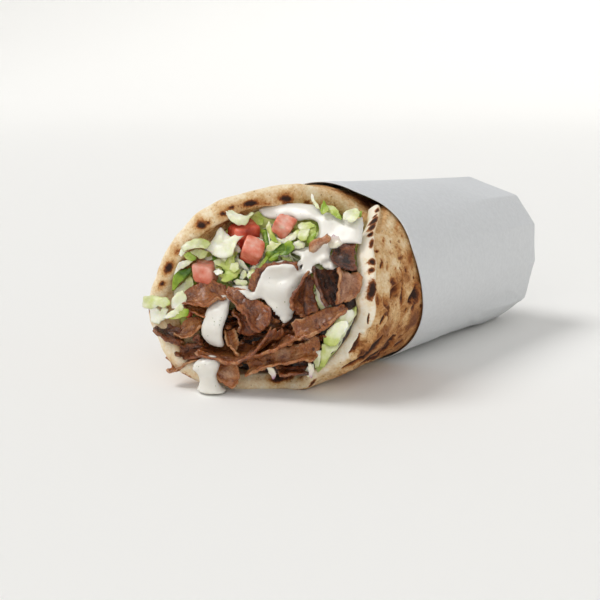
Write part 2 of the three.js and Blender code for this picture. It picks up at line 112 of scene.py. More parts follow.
# The sleeve runs straight to PAPER_RUN, and its folded end reaches PAPER_FACE and, at most, PAPER_POLE.
PAPER_RUN, PAPER_FACE, PAPER_POLE = 158.0, 165.0, 165.2
PAPER_THICK = 0.6
FILLING_BACK = 156.0
MEAT_RECESS = 6.0
SPLIT_RISE, SPLIT_HEIGHT = 0.42, 42.0
MEAT_THICKNESS, MEAT_BOW = 2.4, 1.2
# The side of a tomato dice.
DICE = 9.4
# The mouth's face: its place on the axis and the height it is taken at, and how it turns, leans and bows.
MOUTH_AT, MOUTH_UP, MOUTH_TURN, MOUTH_LEAN, MOUTH_BOW = -20, 45, 0.2, 0.35, 0.008
# Angles round the filling are taken about this height.
MIDDLE_UP = 43


# ---- The main view ----
VIEW_TURN, VIEW_TILT, VIEW_DISTANCE = 37.0, 12.5, 500.0
VIEW_TARGET = np.array([0, 0, 36.5])
# The picture is 600 points wide, and a point at the target is 0.445 mm.
VIEW_WIDE, VIEW_FOCUS = 600, 1123.6
POINT = VIEW_DISTANCE / VIEW_FOCUS


# ---- Numbers ----
def smooth(low, high, x):
    t = np.clip((np.asarray(x, float) - low) / (high - low), 0, 1)
    return t * t * (3 - 2 * t)


def curve_through(pairs):
    """A smooth curve through (position, value) pairs."""
    p = np.array([pairs[0], *pairs, pairs[-1]], float)
    t = np.linspace(0, 1, 13)[:-1, None]
    rows = []
    for a, b, c, d in zip(p, p[1:], p[2:], p[3:]):
        va, vb = (c - a) / 2, (d - b) / 2
        rows.append((2 * b - 2 * c + va + vb) * t**3 + (-3 * b + 3 * c - 2 * va - vb) * t**2 + va * t + b)
    rows.append(p[-1:])
    x, y = np.concatenate(rows).T
    return lambda at: np.interp(at, x, y)


lip_at = curve_through(LIP)
flare_at = curve_through(FLARE)
paper_edge_at = curve_through(PAPER_EDGE)


def uneven(a, b, seed):
    """The solids' own soft unevenness."""
    return (np.sin(a * 1.7 + seed) + np.sin(b * 2.3 - seed * 1.3) + np.sin((a + b) * 1.1 + seed * 2.1)) / 3


def noise(points, size, seed=0):
    """Smooth noise from -1 to 1, with features of about size (one number or three)."""
    q = np.asarray(points, float) / size + seed * 13.7
    cell = np.floor(q).astype(np.int64)
    f = q - cell
    f = f * f * f * (f * (f * 6 - 15) + 10)
    total = np.zeros(q.shape[:-1])
    for corner in np.ndindex(2, 2, 2):
        c = cell + corner
        h = (c[..., 0] * 73856093) ^ (c[..., 1] * 19349663) ^ (c[..., 2] * 83492791) ^ (seed * 2654435761)
        h = (h ^ (h >> 13)) * 1274126177 & 0x7FFFFFFF
        h = (h ^ (h >> 16)) & 0xFFFF
        weight = np.ones(q.shape[:-1])
        for axis in range(3):
            weight = weight * (f[..., axis] if corner[axis] else 1 - f[..., axis])
        total += weight * (h / 32767.5 - 1)
    return total


def layered(points, size, seed=0, octaves=3):
    """Noise in octaves, each half the size and strength of the one before."""
    total = sum(noise(points, np.asarray(size) / 2**k, seed + k) / 2**k for k in range(octaves))
    return total / (2 - 2 ** (1 - octaves))


def unit(v):
    return v / np.maximum(np.linalg.norm(v, axis=-1, keepdims=True), 1e-9)


def turned(euler):
    """Rotation matrix for degrees about X, then Y, then Z, in the order the solids use."""
    x, y, z = np.radians(euler)
    rx = np.array([[1, 0, 0], [0, math.cos(x), -math.sin(x)], [0, math.sin(x), math.cos(x)]])
    ry = np.array([[math.cos(y), 0, math.sin(y)], [0, 1, 0], [-math.sin(y), 0, math.cos(y)]])
    rz = np.array([[math.cos(z), -math.sin(z), 0], [math.sin(z), math.cos(z), 0], [0, 0, 1]])
    return rx @ ry @ rz


# ---- The roll ----
def width_at(y):
    return HALF_WIDTH - TAPER * y


def height_at(y):
    return HALF_HEIGHT - TAPER * y


def axis_height(y):
    return height_at(y) - SINK


def on_roll(angle, y, inside):
    a = np.radians(angle)
    x = (width_at(y) - inside) * np.cos(a)
    z = axis_height(y) + (height_at(y) - inside) * np.sin(a)
    return np.stack(np.broadcast_arrays(x, y, z), -1)


def mouth_y(x, z):
    up = z - MOUTH_UP
    return MOUTH_AT + MOUTH_TURN * x + MOUTH_LEAN * up + MOUTH_BOW * up * up


def angle_of(x, z):
    """A place's angle round the filling, in degrees."""
    return np.degrees(np.arctan2(z - MIDDLE_UP, x))


def face_point(places):
    """Places [across, up, out] at the mouth, as points."""
    places = np.asarray(places, float)
    x, z, out = places[..., 0], places[..., 1], places[..., 2]
    return np.stack([x, mouth_y(x, z) - out, z], -1)


def view_axes():
    """The main view's eye, and its directions forwards, right and up."""
    turn, tilt = math.radians(VIEW_TURN), math.radians(VIEW_TILT)
    back = np.array([math.sin(turn) * math.cos(tilt), -math.cos(turn) * math.cos(tilt), math.sin(tilt)])
    right = np.array([math.cos(turn), math.sin(turn), 0])
    return VIEW_TARGET + VIEW_DISTANCE * back, -back, right, np.cross(back, right)


def in_view(points):
    """Where points show in the main view, in picture points from its top left."""
    eye, ahead, right, up = view_axes()
    way = points - eye
    far = way @ ahead
    return VIEW_WIDE / 2 + VIEW_FOCUS * np.stack([way @ right, -(way @ up)], -1) / far[..., None]


def seen(across, down, out):
    """The point out mm in front of the mouth's face that shows at a place in the main view."""
    eye, ahead, right, up = view_axes()
    across, down, out = np.broadcast_arrays(*(np.asarray(value, float) for value in (across, down, out)))
    aside, above = across - VIEW_WIDE / 2, VIEW_WIDE / 2 - down
    way = unit(VIEW_FOCUS * ahead + aside[..., None] * right + above[..., None] * up)
    far = np.full(across.shape, VIEW_DISTANCE)
    # Newton's steps find where the line of sight meets the face.
    for _ in range(12):
        p = eye + way * far[..., None]
        off = p[..., 1] - mouth_y(p[..., 0], p[..., 2]) + out
        lean = MOUTH_LEAN + 2 * MOUTH_BOW * (p[..., 2] - MOUTH_UP)
        far = far - off / (way[..., 1] - MOUTH_TURN * way[..., 0] - lean * way[..., 2])
    return eye + way * far[..., None]


def bread_inside(travel, y):
    """How far the flatbread's outer face lies inside the roll's own section, in mm."""
    behind = np.maximum(0, y - lip_at(travel))
    flare = flare_at(travel) * (1 - smooth(0, FLARE_REACH, behind))
    dimple = 0.3 * uneven(travel / 16, y / 13, 2)
    return COVER + LAP_DROP * smooth(LAP_FROM, LAP_TO, travel) - flare - dimple


def wall_inside(angle, y):
    """How far the flatbread's inner face lies inside the roll's section, under both laps."""
    travel = (FREE_EDGE - angle) % 360
    doubled = TURN - 360 + LAP_FADE
    under = np.where(travel < doubled, 1 - smooth(doubled - LAP_FADE, doubled, travel), 0)
    own = bread_inside(travel, y) + THICKNESS
    lapped = bread_inside(travel + 360, y) + THICKNESS
    return np.maximum(own, own + (lapped - own) * under) + GAP


def core_point(angle, y, share):
    """A point of the filling: share 0 is on the axis, and 1 against the bread."""
    wall = on_roll(angle, y, wall_inside(angle, y))
    wall[..., 2] = np.maximum(wall[..., 2], THICKNESS * 0.8 + 1.4)
    axis = np.stack(np.broadcast_arrays(np.zeros_like(wall[..., 0]), y, axis_height(y)), -1)
    return axis + (wall - axis) * np.asarray(share)[..., None]


PAPER_BOX = [np.array(corner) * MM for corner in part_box("paper_sleeve")]
OFFSET = np.array([(PAPER_BOX[0][0] + PAPER_BOX[1][0]) / 2, PAPER_BOX[1][1] - PAPER_POLE, 0])


def to_frame(points):
    return (np.asarray(points, float) + OFFSET) / MM


# ---- Meshes ----
def make_piece(name, points, faces, finish, replaces=(), values=None):
    """A piece from points in mm. values holds one number for each point, by name."""
    mesh = bpy.data.meshes.new(name)
    corners = faces.tolist() if isinstance(faces, np.ndarray) else faces
    mesh.from_pydata(to_frame(points).tolist(), [], corners)
    mesh.validate()
    face_out(mesh)
    for key, value in (values or {}).items():
        layer = mesh.attributes.new(key, "FLOAT", "POINT")
        layer.data.foreach_set("value", np.ascontiguousarray(value, np.float32).ravel())
    mesh.shade_smooth()
    mesh.materials.append(finish)
    made = bpy.data.objects.new(name, mesh)
    bpy.context.scene.collection.objects.link(made)
    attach(made, "root")
    if replaces:
        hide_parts(*replaces)
    return made


def face_out(mesh):
    """Turns a closed mesh's faces to point out."""
    shell = bmesh.new()
    shell.from_mesh(mesh)
    bmesh.ops.recalc_face_normals(shell, faces=shell.faces[:])
    shell.to_mesh(mesh)
    shell.free()


def grid_faces(index):
    a, b, c, d = index[:-1, :-1], index[:-1, 1:], index[1:, 1:], index[1:, :-1]
    return np.stack([a, b, c, d], -1).reshape(-1, 4)


def grid_normals(points):
    """Unit normals of a grid of points, along columns crossed with along rows."""
    rows = np.gradient(points, axis=0)
    columns = np.gradient(points, axis=1)
    return unit(np.cross(columns, rows))


def two_sided(front, back):
    """A closed skin over two grids that share their border: its points and faces, and which grid
    place each point came from."""
    rows, columns = front.shape[:2]
    front_index = np.arange(rows * columns).reshape(rows, columns)
    back_index = front_index.copy()
    back_index[1:-1, 1:-1] = rows * columns + np.arange((rows - 2) * (columns - 2)).reshape(rows - 2, -1)
    points = np.concatenate([front.reshape(-1, 3), back[1:-1, 1:-1].reshape(-1, 3)])
    faces = np.concatenate([grid_faces(front_index), grid_faces(back_index)[:, ::-1]])
    return points, faces


def both_sides(front, back):
    """Values for the points that two_sided gives."""
    return np.concatenate([np.asarray(front).ravel(), np.asarray(back)[1:-1, 1:-1].ravel()])


def disc_sides(front, back):
    """As two_sided, for rings of points that go round, from the middle out to a shared border."""
    rings, around = front.shape[:2]
    front_index = np.arange(rings * around).reshape(rings, around)
    back_index = front_index.copy()
    back_index[:-1] = rings * around + np.arange((rings - 1) * around).reshape(rings - 1, around)
    faces = []
    for index, way in ((front_index, 1), (back_index, -1)):
        index = np.concatenate([index, index[:, :1]], 1)
        faces += grid_faces(index)[:, ::way].tolist() + [index[0, :-1][::-way].tolist()]
    return np.concatenate([front.reshape(-1, 3), back[:-1].reshape(-1, 3)]), faces


def rounded(distance, radius):
    """How far a rounded border has risen, from 0 at the border to 1 at radius."""
    t = 1 - np.clip(distance / radius, 0, 1)
    return np.sqrt(np.maximum(0, 1 - t * t))


class Batch:
    """Many small meshes joined into one piece."""

    def __init__(self):
        self.points, self.faces, self.values, self.count = [], [], {}, 0

    def add(self, points, faces, **values):
        self.points.append(points)
        if isinstance(faces, np.ndarray):
            self.faces += (faces + self.count).tolist()
        else:
            self.faces += [[corner + self.count for corner in face] for face in faces]
        self.count += len(points)
        for key, value in values.items():
            self.values.setdefault(key, []).append(np.broadcast_to(value, len(points)))

    def piece(self, name, finish, slot, replaces=()):
        values = {key: np.concatenate(value) for key, value in self.values.items()}
        return make_piece(name, np.concatenate(self.points), self.faces, finish, replaces, values)


# ---- Materials ----
def linear(hex_colour):
    """An sRGB hex colour as linear red, green, blue and alpha."""
    srgb = np.array([int(hex_colour[i : i + 2], 16) / 255 for i in (1, 3, 5)])
    rgb = np.where(srgb <= 0.04045, srgb / 12.92, ((srgb + 0.055) / 1.055) ** 2.4)
    return (*rgb, 1.0)


def feed(node, inputs):
    """Gives a node's sockets their values, or what feeds them: a socket, or a node's first output."""
    for key, value in inputs.items():
        if isinstance(value, bpy.types.Node):
            value = value.outputs[0]
        if isinstance(value, bpy.types.NodeSocket):
            node.id_data.links.new(value, node.inputs[key])
        else:
            node.inputs[key].default_value = value


def add_node(nodes, kind, inputs=None, stops=None, **settings):
    """Adds a node with its settings and inputs. stops gives a colour ramp its positions and colours."""
    made = nodes.new(kind)
    for key, value in settings.items():
        setattr(made, key, value)
    feed(made, inputs or {})
    if stops:
        while len(made.color_ramp.elements) < len(stops):
            made.color_ramp.elements.new(0.5)
        for element, (position, colour) in zip(made.color_ramp.elements, stops):
            element.position = position
            element.color = linear(colour) if isinstance(colour, str) else (colour, colour, colour, 1)
    return made


def start_material(name):
    """A new material, what adds a node to it, its shader, and a place in mm for patterns."""
    made = bpy.data.materials.new(name)
    made.use_nodes = True
    nodes = made.node_tree.nodes
    add = functools.partial(add_node, nodes)
    place = add("ShaderNodeTexCoord").outputs["Object"]
    mm = add("ShaderNodeVectorMath", {0: place, "Scale": MM}, operation="SCALE")
    return made, add, nodes["Principled BSDF"], mm


def bread_material():
    """Griddled flatbread: baked on a hot plate, so floury and matt, with toasted blisters."""
    made, add, shader, mm = start_material("griddled_flatbread")
    # The bread's toasting attribute also holds painted shade and painted light, and its scorch attribute
    # also holds painted shade in the gashes.
    bake = add("ShaderNodeAttribute", attribute_name="bake").outputs["Fac"]
    char = add("ShaderNodeAttribute", attribute_name="char").outputs["Fac"]
    # Toasting follows blisters of about 6 mm, flour and pores of about 1 mm.
    blister = add("ShaderNodeTexNoise", {"Vector": mm, "Scale": 0.16, "Detail": 4.0, "Roughness": 0.6})
    speck = add("ShaderNodeTexNoise", {"Vector": mm, "Scale": 0.9, "Detail": 5.0, "Roughness": 0.65})
    spread = add("ShaderNodeMapRange", {
        "Value": blister, "From Min": 0.35, "From Max": 0.7, "To Min": -0.14, "To Max": 0.16})
    grain = add("ShaderNodeMapRange", {
        "Value": speck, "From Min": 0.3, "From Max": 0.7, "To Min": -0.1, "To Max": 0.1})
    broad = add("ShaderNodeMath", {0: bake, 1: spread}, operation="ADD")
    level = add("ShaderNodeMath", {0: broad, 1: grain}, operation="ADD")
    colour = add("ShaderNodeValToRGB", {"Fac": level}, stops=[
        (0.0, "#f8eedc"), (0.2, "#eed9b4"), (0.4, "#d9b27e"), (0.58, "#b98149"), (0.8, "#834c26"),
        (1.0, "#4a2814")])
    # Pores of about 1.5 mm are baked brown, thicker where the bread is baked more.
    pore = add("ShaderNodeTexNoise", {"Vector": mm, "Scale": 0.75, "Detail": 3.0, "Roughness": 0.75})
    baked = add("ShaderNodeMath", {0: level, 1: 0.3, 2: pore}, operation="MULTIPLY_ADD")
    pores = add("ShaderNodeValToRGB", {"Fac": baked}, stops=[(0.71, 0.0), (0.78, 0.7)])
    dotted = add("ShaderNodeMix", {"Factor": pores, 6: colour, 7: linear("#7c4a28")}, data_type="RGBA")
    # Scorch marks have a toasted halo and break up into specks at their edge.
    ragged = add("ShaderNodeMath", {0: speck, 1: -0.5, 2: 0.0}, operation="ADD")
    stretch = add("ShaderNodeMath", {0: ragged, 1: 0.75, 2: char}, operation="MULTIPLY_ADD")
    scorch = add("ShaderNodeValToRGB", {"Fac": stretch}, stops=[(0.3, 0.0), (0.52, 1.0)])
    burnt = add("ShaderNodeValToRGB", {"Fac": stretch}, stops=[
        (0.32, "#c98f52"), (0.5, "#a4622e"), (0.68, "#6a3819"), (0.9, "#2f180d")])
    mix = add("ShaderNodeMix", {"Factor": scorch, 6: dotted.outputs[2], 7: burnt}, data_type="RGBA")
    fine = add("ShaderNodeTexNoise", {"Vector": mm, "Scale": 2.2, "Detail": 4.0, "Roughness": 0.7})
    bump = add("ShaderNodeBump", {"Height": speck, "Distance": 0.00045, "Strength": 0.6})
    bump2 = add("ShaderNodeBump", {"Height": fine, "Distance": 0.00015, "Strength": 0.6, "Normal": bump})
    feed(shader, {
        "Base Color": mix.outputs[2], "Normal": bump2, "Roughness": 0.78, "IOR": 1.4,
        "Subsurface Weight": 0.12, "Subsurface Radius": (0.0020, 0.0012, 0.0006)})
    return made


def paper_material():
    """Wrapping paper: bleached, machine finished, so satin with a faint fibre mottle."""
    made, add, shader, mm = start_material("bleached_wrapping_paper")
    fibre = add("ShaderNodeTexNoise", {"Vector": mm, "Scale": 0.5, "Detail": 6.0, "Roughness": 0.7})
    colour = add("ShaderNodeValToRGB", {"Fac": fibre}, stops=[
        (0.3, "#cfd1d3"), (0.7, "#d9dbdd")])
    crease = add("ShaderNodeTexNoise", {"Vector": mm, "Scale": 0.06, "Detail": 3.0, "Roughness": 0.5})
    bump = add("ShaderNodeBump", {"Height": crease, "Distance": 0.002, "Strength": 0.35})
    bump2 = add("ShaderNodeBump", {"Height": fibre, "Distance": 0.0001, "Strength": 0.4, "Normal": bump})
    feed(shader, {
        "Base Color": colour, "Normal": bump2, "Roughness": 0.55, "Subsurface Weight": 0.05,
        "Subsurface Radius": (0.002, 0.002, 0.002)})
    return made


def meat_material():
    """Shaved roast meat: cut thin from a spit, so the faces show its grain and the rim is browned."""
    made, add, shader, mm = start_material("shaved_roast_meat")
    tone = add("ShaderNodeAttribute", attribute_name="tone").outputs["Fac"]
    edge = add("ShaderNodeAttribute", attribute_name="edge").outputs["Fac"]
    grain = add("ShaderNodeAttribute", attribute_name="grain").outputs["Fac"]
    patch = add("ShaderNodeTexNoise", {"Vector": mm, "Scale": 0.25, "Detail": 4.0, "Roughness": 0.6})
    fleck = add("ShaderNodeTexNoise", {"Vector": mm, "Scale": 1.6, "Detail": 4.0, "Roughness": 0.6})
    spread = add("ShaderNodeMath", {0: patch, 1: 0.8, 2: -0.37}, operation="MULTIPLY_ADD")
    speckle = add("ShaderNodeMath", {0: fleck, 1: 0.7, 2: -0.35}, operation="MULTIPLY_ADD")
    lines = add("ShaderNodeMath", {0: grain, 1: 0.2, 2: speckle}, operation="MULTIPLY_ADD")
    both = add("ShaderNodeMath", {0: spread, 1: lines}, operation="ADD")
    level = add("ShaderNodeMath", {0: both, 1: tone}, operation="ADD")
    brown = add("ShaderNodeValToRGB", {"Fac": level}, stops=[
        (0.0, "#160803"), (0.22, "#45200c"), (0.42, "#7c4019"), (0.66, "#ad6c36"),
        (1.0, "#dcaa7a")])
    # Cut faces inside are greyer and pinker, in patches of about 10 mm.
    inside = add("ShaderNodeValToRGB", {"Fac": level}, stops=[
        (0.0, "#33170f"), (0.3, "#69412f"), (0.55, "#987060"), (0.8, "#bc9a8a"), (1.0, "#dcc4b4")])
    raw = add("ShaderNodeTexNoise", {"Vector": mm, "Scale": 0.1, "Detail": 2.0, "Roughness": 0.5})
    where = add("ShaderNodeMath", {0: tone, 1: 0.5, 2: raw}, operation="MULTIPLY_ADD")
    cut_face = add("ShaderNodeValToRGB", {"Fac": where}, stops=[(0.74, 0.0), (0.95, 0.45)])
    face = add("ShaderNodeMix", {"Factor": cut_face, 6: brown, 7: inside}, data_type="RGBA")
    crust = add("ShaderNodeValToRGB", {"Fac": level}, stops=[
        (0.0, "#2e1105"), (0.35, "#874115"), (0.65, "#b4682c"), (1.0, "#d89a5c")])
    near_rim = add("ShaderNodeValToRGB", {"Fac": edge}, stops=[(0.05, 0.0), (0.5, 0.8)])
    toasted = add("ShaderNodeMix", {"Factor": near_rim, 6: face.outputs[2], 7: crust}, data_type="RGBA")
    crisp = add("ShaderNodeValToRGB", {"Fac": level}, stops=[
        (0.15, "#4c220c"), (0.42, "#b06f38"), (0.85, "#dcb080")])
    on_rim = add("ShaderNodeValToRGB", {"Fac": edge}, stops=[(0.55, 0.0), (0.85, 0.9)])
    mix = add("ShaderNodeMix", {"Factor": on_rim, 6: toasted.outputs[2], 7: crisp}, data_type="RGBA")
    # Dark crumbs of crust of about 1 mm.
    crumb = add("ShaderNodeTexNoise", {"Vector": mm, "Scale": 0.9, "Detail": 3.0, "Roughness": 0.7})
    dark = add("ShaderNodeValToRGB", {"Fac": crumb}, stops=[(0.62, 0.0), (0.7, 0.65)])
    done = add("ShaderNodeMix", {"Factor": dark, 6: mix.outputs[2], 7: linear("#2e1408")}, data_type="RGBA")
    bump = add("ShaderNodeBump", {"Height": fleck, "Distance": 0.0009, "Strength": 0.95})
    gloss = add("ShaderNodeMapRange", {
        "Value": patch, "From Min": 0.35, "From Max": 0.65, "To Min": 0.16, "To Max": 0.4})
    feed(shader, {
        "Base Color": done.outputs[2], "Normal": bump, "Roughness": gloss, "Coat Weight": 0.5,
        "Coat Roughness": 0.25, "Subsurface Weight": 0.1, "Subsurface Radius": (0.0015, 0.0006, 0.0004)})
    return made


def lettuce_material():
    """Iceberg lettuce: shredded, so wet cut ribs that are almost white and leaf that is green."""
    made, add, shader, mm = start_material("shredded_iceberg_lettuce")
    green = add("ShaderNodeAttribute", attribute_name="green").outputs["Fac"]
    vein = add("ShaderNodeTexNoise", {"Vector": mm, "Scale": 0.55, "Detail": 3.0, "Roughness": 0.6})
    spread = add("ShaderNodeMath", {0: vein, 1: 0.3, 2: -0.15}, operation="MULTIPLY_ADD")
    level = add("ShaderNodeMath", {0: green, 1: spread}, operation="ADD")
    colour = add("ShaderNodeValToRGB", {"Fac": level}, stops=[
        (0.0, "#f6f5e8"), (0.25, "#e4e6c2"), (0.48, "#c6cf78"), (0.72, "#93ae34"),
        (1.0, "#466a18")])
    bump = add("ShaderNodeBump", {"Height": vein, "Distance": 0.0006, "Strength": 0.5})
    feed(shader, {
        "Base Color": colour, "Normal": bump, "Roughness": 0.3, "IOR": 1.38, "Subsurface Weight": 0.35,
        "Subsurface Radius": (0.0012, 0.0015, 0.0006)})
    return made


def tomato_material():
    """Ripe tomato: diced with a knife, so wet faces of pale-veined flesh."""
    made, add, shader, mm = start_material("diced_ripe_tomato")
    # The flesh attribute also makes each dice paler towards its top, as painted light.
    flesh = add("ShaderNodeAttribute", attribute_name="flesh").outputs["Fac"]
    vein = add("ShaderNodeTexNoise", {"Vector": mm, "Scale": 0.22, "Detail": 4.0, "Roughness": 0.6})
    spread = add("ShaderNodeMath", {0: vein, 1: 0.9, 2: -0.45}, operation="MULTIPLY_ADD")
    level = add("ShaderNodeMath", {0: flesh, 1: spread}, operation="ADD")
    colour = add("ShaderNodeValToRGB", {"Fac": level}, stops=[
        (0.0, "#a83522"), (0.25, "#d2604a"), (0.5, "#e6856a"), (0.75, "#f2ae9a"), (1.0, "#fadccb")])
    bump = add("ShaderNodeBump", {"Height": vein, "Distance": 0.0006, "Strength": 0.5})
    feed(shader, {
        "Base Color": colour, "Normal": bump, "Roughness": 0.22, "Subsurface Weight": 0.4,
        "Subsurface Radius": (0.004, 0.0016, 0.0012)})
    return made


def sauce_material():
    """Garlic yoghurt sauce: thick and oily, so opaque white with a soft gloss."""
    made, add, shader, mm = start_material("garlic_yoghurt_sauce")
    cloud = add("ShaderNodeTexNoise", {"Vector": mm, "Scale": 0.12, "Detail": 4.0, "Roughness": 0.55})
    colour = add("ShaderNodeValToRGB", {"Fac": cloud}, stops=[
        (0.35, "#e2ded4"), (0.65, "#ebe8e0")])
    bump = add("ShaderNodeBump", {"Height": cloud, "Distance": 0.0012, "Strength": 0.35})
    feed(shader, {
        "Base Color": colour, "Normal": bump, "Roughness": 0.3, "Subsurface Weight": 0.25,
        "Subsurface Radius": (0.003, 0.0026, 0.002)})
    return made


def herb_material():
    """Chopped parsley: cut fine, so dark green flecks."""
    made, add, shader, mm = start_material("chopped_parsley")
    tint = add("ShaderNodeTexNoise", {"Vector": mm, "Scale": 0.8, "Detail": 2.0})
    colour = add("ShaderNodeValToRGB", {"Fac": tint}, stops=[(0.3, "#7c8663"), (0.7, "#a3aa8a")])
    feed(shader, {"Base Color": colour, "Roughness": 0.5})
    return made


def onion_material():
    """White onion: sliced, so wet, glassy strips with a violet rim."""
    made, add, shader, _ = start_material("sliced_onion")
    rim = add("ShaderNodeAttribute", attribute_name="rim").outputs["Fac"]
    colour = add("ShaderNodeValToRGB", {"Fac": rim}, stops=[(0.3, "#e6e1cc"), (0.75, "#dccfc8"),
        (1.0, "#b07a98")])
    feed(shader, {
        "Base Color": colour, "Roughness": 0.25, "Subsurface Weight": 0.4,
        "Subsurface Radius": (0.003, 0.003, 0.002)})
    return made


# ---- Flatbread ----
FREE_REACH = 8.0
ARC = 0.77
RIM_ROUND = 3.9
# From so far behind the lip, the steps along the roll are stretched to reach its back.
STRETCHED = 72
# Scorch marks: degrees travelled, mm behind the lip, half sizes in mm across and along the roll, and
# strength. Marks above 0.6 are burnt, and weaker ones toasted.
OUTER_MARKS = [
    (-0.6, 2.6, 1.2, 1.0, 1.0), (3.0, 1.9, 0.8, 1.0, 0.9), (6.8, 2.1, 1.7, 1.5, 1.2),
    (11.4, 1.9, 1.5, 1.3, 1.15), (16, 2.1, 1.1, 1.1, 1.0), (21.5, 2.5, 1.7, 1.0, 0.85),
    (31.7, 1.9, 1.5, 1.2, 1.05), (36.3, 1.6, 1.1, 1.1, 0.95), (46.4, 1.9, 3.4, 1.2, 1.15),
    (33.5, 36.5, 3.6, 3.0, 0.62), (45.5, 21.1, 2.2, 2.4, 0.78), (50, 24.4, 2.2, 2.2, 0.85),
    (56, 29.9, 3.2, 1.4, 0.9), (55.7, 43.1, 4.5, 2.8, 1.1), (60, 38, 2.2, 1.8, 0.9),
    (23.4, 38.7, 3.0, 1.5, 0.62), (26.1, 9.5, 0.7, 0.8, 0.85), (33, 11.5, 2.0, 0.8, 0.8),
    (52.9, 9.0, 3.0, 1.3, 0.66), (57.6, 14.6, 2.2, 1.2, 0.72), (33, 5.0, 2.0, 0.9, 0.5),
    (40, 33, 1.3, 1.0, 0.9), (64, 41, 4.0, 1.8, 0.9), (38, 24, 1.0, 0.7, 0.7),
    (78.7, 14.3, 4.4, 1.6, 0.5), (82.4, 25.5, 5.2, 2.0, 0.5), (88, 38, 7.0, 3.0, 0.5),
    (20, 14, 2.0, 1.0, 0.55), (12, 24, 2.4, 1.4, 0.5), (28, 20, 1.6, 2.4, 0.45),
]
INNER_MARKS = [
    (262, 6.0, 3.0, 2.0, 0.5), (280, 9.0, 7.0, 4.5, 0.6), (298, 8.0, 6.0, 3.0, 0.5),
    (316, 5.0, 7.0, 3.0, 0.55), (248, 9.0, 6.0, 3.0, 0.45), (140, 1.6, 3.0, 1.5, 1.0),
    (133, 1.4, 2.4, 1.3, 0.7), (108, 1.6, 4.0, 1.3, 0.55), (96, 1.4, 3.0, 1.1, 0.5),
    (84, 1.2, 3.0, 1.1, 0.4), (290.9, 4.0, 4.0, 1.6, 0.5), (270.6, 4.6, 3.5, 1.8, 0.5),
]
# Marks on the rim itself: degrees travelled, mm round its end from the middle towards the outside,
# half sizes and strength.
RIM_MARKS = [
    (233.7, -2.6, 1.2, 1.3, 0.95), (243, -2.2, 2.3, 1.7, 1.15), (253.5, -1.8, 1.8, 1.3, 0.62),
    (273.4, -1.7, 1.7, 1.7, 1.1), (276.5, -2.4, 0.9, 0.9, 0.85), (284.6, -2.2, 1.0, 1.0, 1.0),
    (289, -1.0, 1.1, 0.9, 0.95), (296.6, -1.6, 2.2, 1.3, 1.2), (311.2, -1.5, 2.2, 1.3, 1.15),
    (311.2, -3.4, 2.8, 1.2, 0.62), (320.4, -2.2, 1.5, 1.4, 0.7), (262, -3.2, 1.6, 1.2, 0.5),
    (302, -3.2, 3.0, 1.0, 0.5), (140.5, -2.2, 2.4, 1.2, 1.05), (135.9, -2.6, 1.6, 1.1, 0.8),
    (124, -2.4, 3.0, 1.1, 0.55), (112, -2.4, 3.0, 1.3, 0.62), (100, -2.8, 3.0, 1.1, 0.6),
    (90, -2.6, 3.4, 1.2, 0.66), (78, -2.8, 3.0, 1.1, 0.6),
]
# The row of marks behind the lip: where it stops, and the degrees from each to the next.
ROW_END, ROW_STEP = 225, 9
# Gashes and folds low on the outer lap, as they show in the main view: half width in mm, strength of
# their scorch and painted shade, and picture points along each.
GASHES = [
    (0.45, 1.0, [(369.5, 314), (369, 319), (368.5, 324)]),
    (0.55, 1.1, [(384.5, 312), (382.5, 318), (379, 324)]),
    (0.35, 0.8, [(406, 328), (404, 333)]),
    (0.8, 1.15, [(381, 335), (377, 342), (372, 347.5), (364, 354), (354, 362), (344, 369)]),
    (0.75, 1.15, [(393, 335), (389, 340), (385, 345), (375, 353), (363, 362), (354, 367)]),
    (1.3, 0.85, [(360.5, 335), (358.5, 343), (355, 350), (350, 353)]),
    (0.3, 0.8, [(363, 354), (357, 361), (347, 367)]),
    (0.4, 0.9, [(401, 330), (394, 336), (386, 347), (376, 356), (360, 365)]),
    (0.6, 0.85, [(402, 340), (394, 347), (386, 352), (373, 361)]),
    (0.3, 0.75, [(376, 324), (377, 331)]),
    (0.35, 0.6, [(384, 324), (383, 329)]),
    (0.4, 0.9, [(382, 263), (381, 268)]),
    (0.9, 0.75, [(397, 285), (393, 291), (391, 298)]),
    (0.45, 0.95, [(401, 280), (402, 289), (402, 300)]),
    (0.3, 0.9, [(413, 276), (413.5, 279)]),
    (1.0, 1.1, [(417, 287), (413, 296), (409, 302)]),
    (0.6, 1.0, [(407, 308), (405, 312)]),
    (0.5, 0.62, [(384, 294), (383, 305), (388, 309)]),
    (0.3, 0.6, [(401, 267), (401, 279)]),
    (0.35, 0.7, [(376, 286), (377, 289)]),
    (0.35, 0.7, [(390, 240), (391, 243)]),
    (0.35, 0.6, [(398, 247), (400, 250)]),
]
# Low on the right the outer lap's lip turns in, in mm, and is thinner.
TUCK_IN, TUCK_THIN = 4.0, 0.3


def round_end(behind):
    """Mm round the bread's rounded end, from its tip, for a place so far behind the lip."""
    return RIM_ROUND * np.arccos(1 - np.clip(behind / RIM_ROUND, 0, 1)) + np.maximum(0, behind - RIM_ROUND)


def scorched(marks, travel, behind):
    """How scorched the bread is by a list of marks, whose outlines wander."""
    flat = np.stack([travel * ARC, behind, np.zeros_like(travel)], -1)
    drift = [0.55 * layered(flat, 3, seed, 2) for seed in (90, 95)]
    total = np.zeros_like(travel)
    for at, back, wide, deep, strength in marks:
        across = ((travel - at) * ARC + drift[0]) / wide
        along = (behind - back + drift[1]) / deep
        total = np.maximum(total, strength * np.exp(-0.62 * (across**2 + along**2)))
    return total


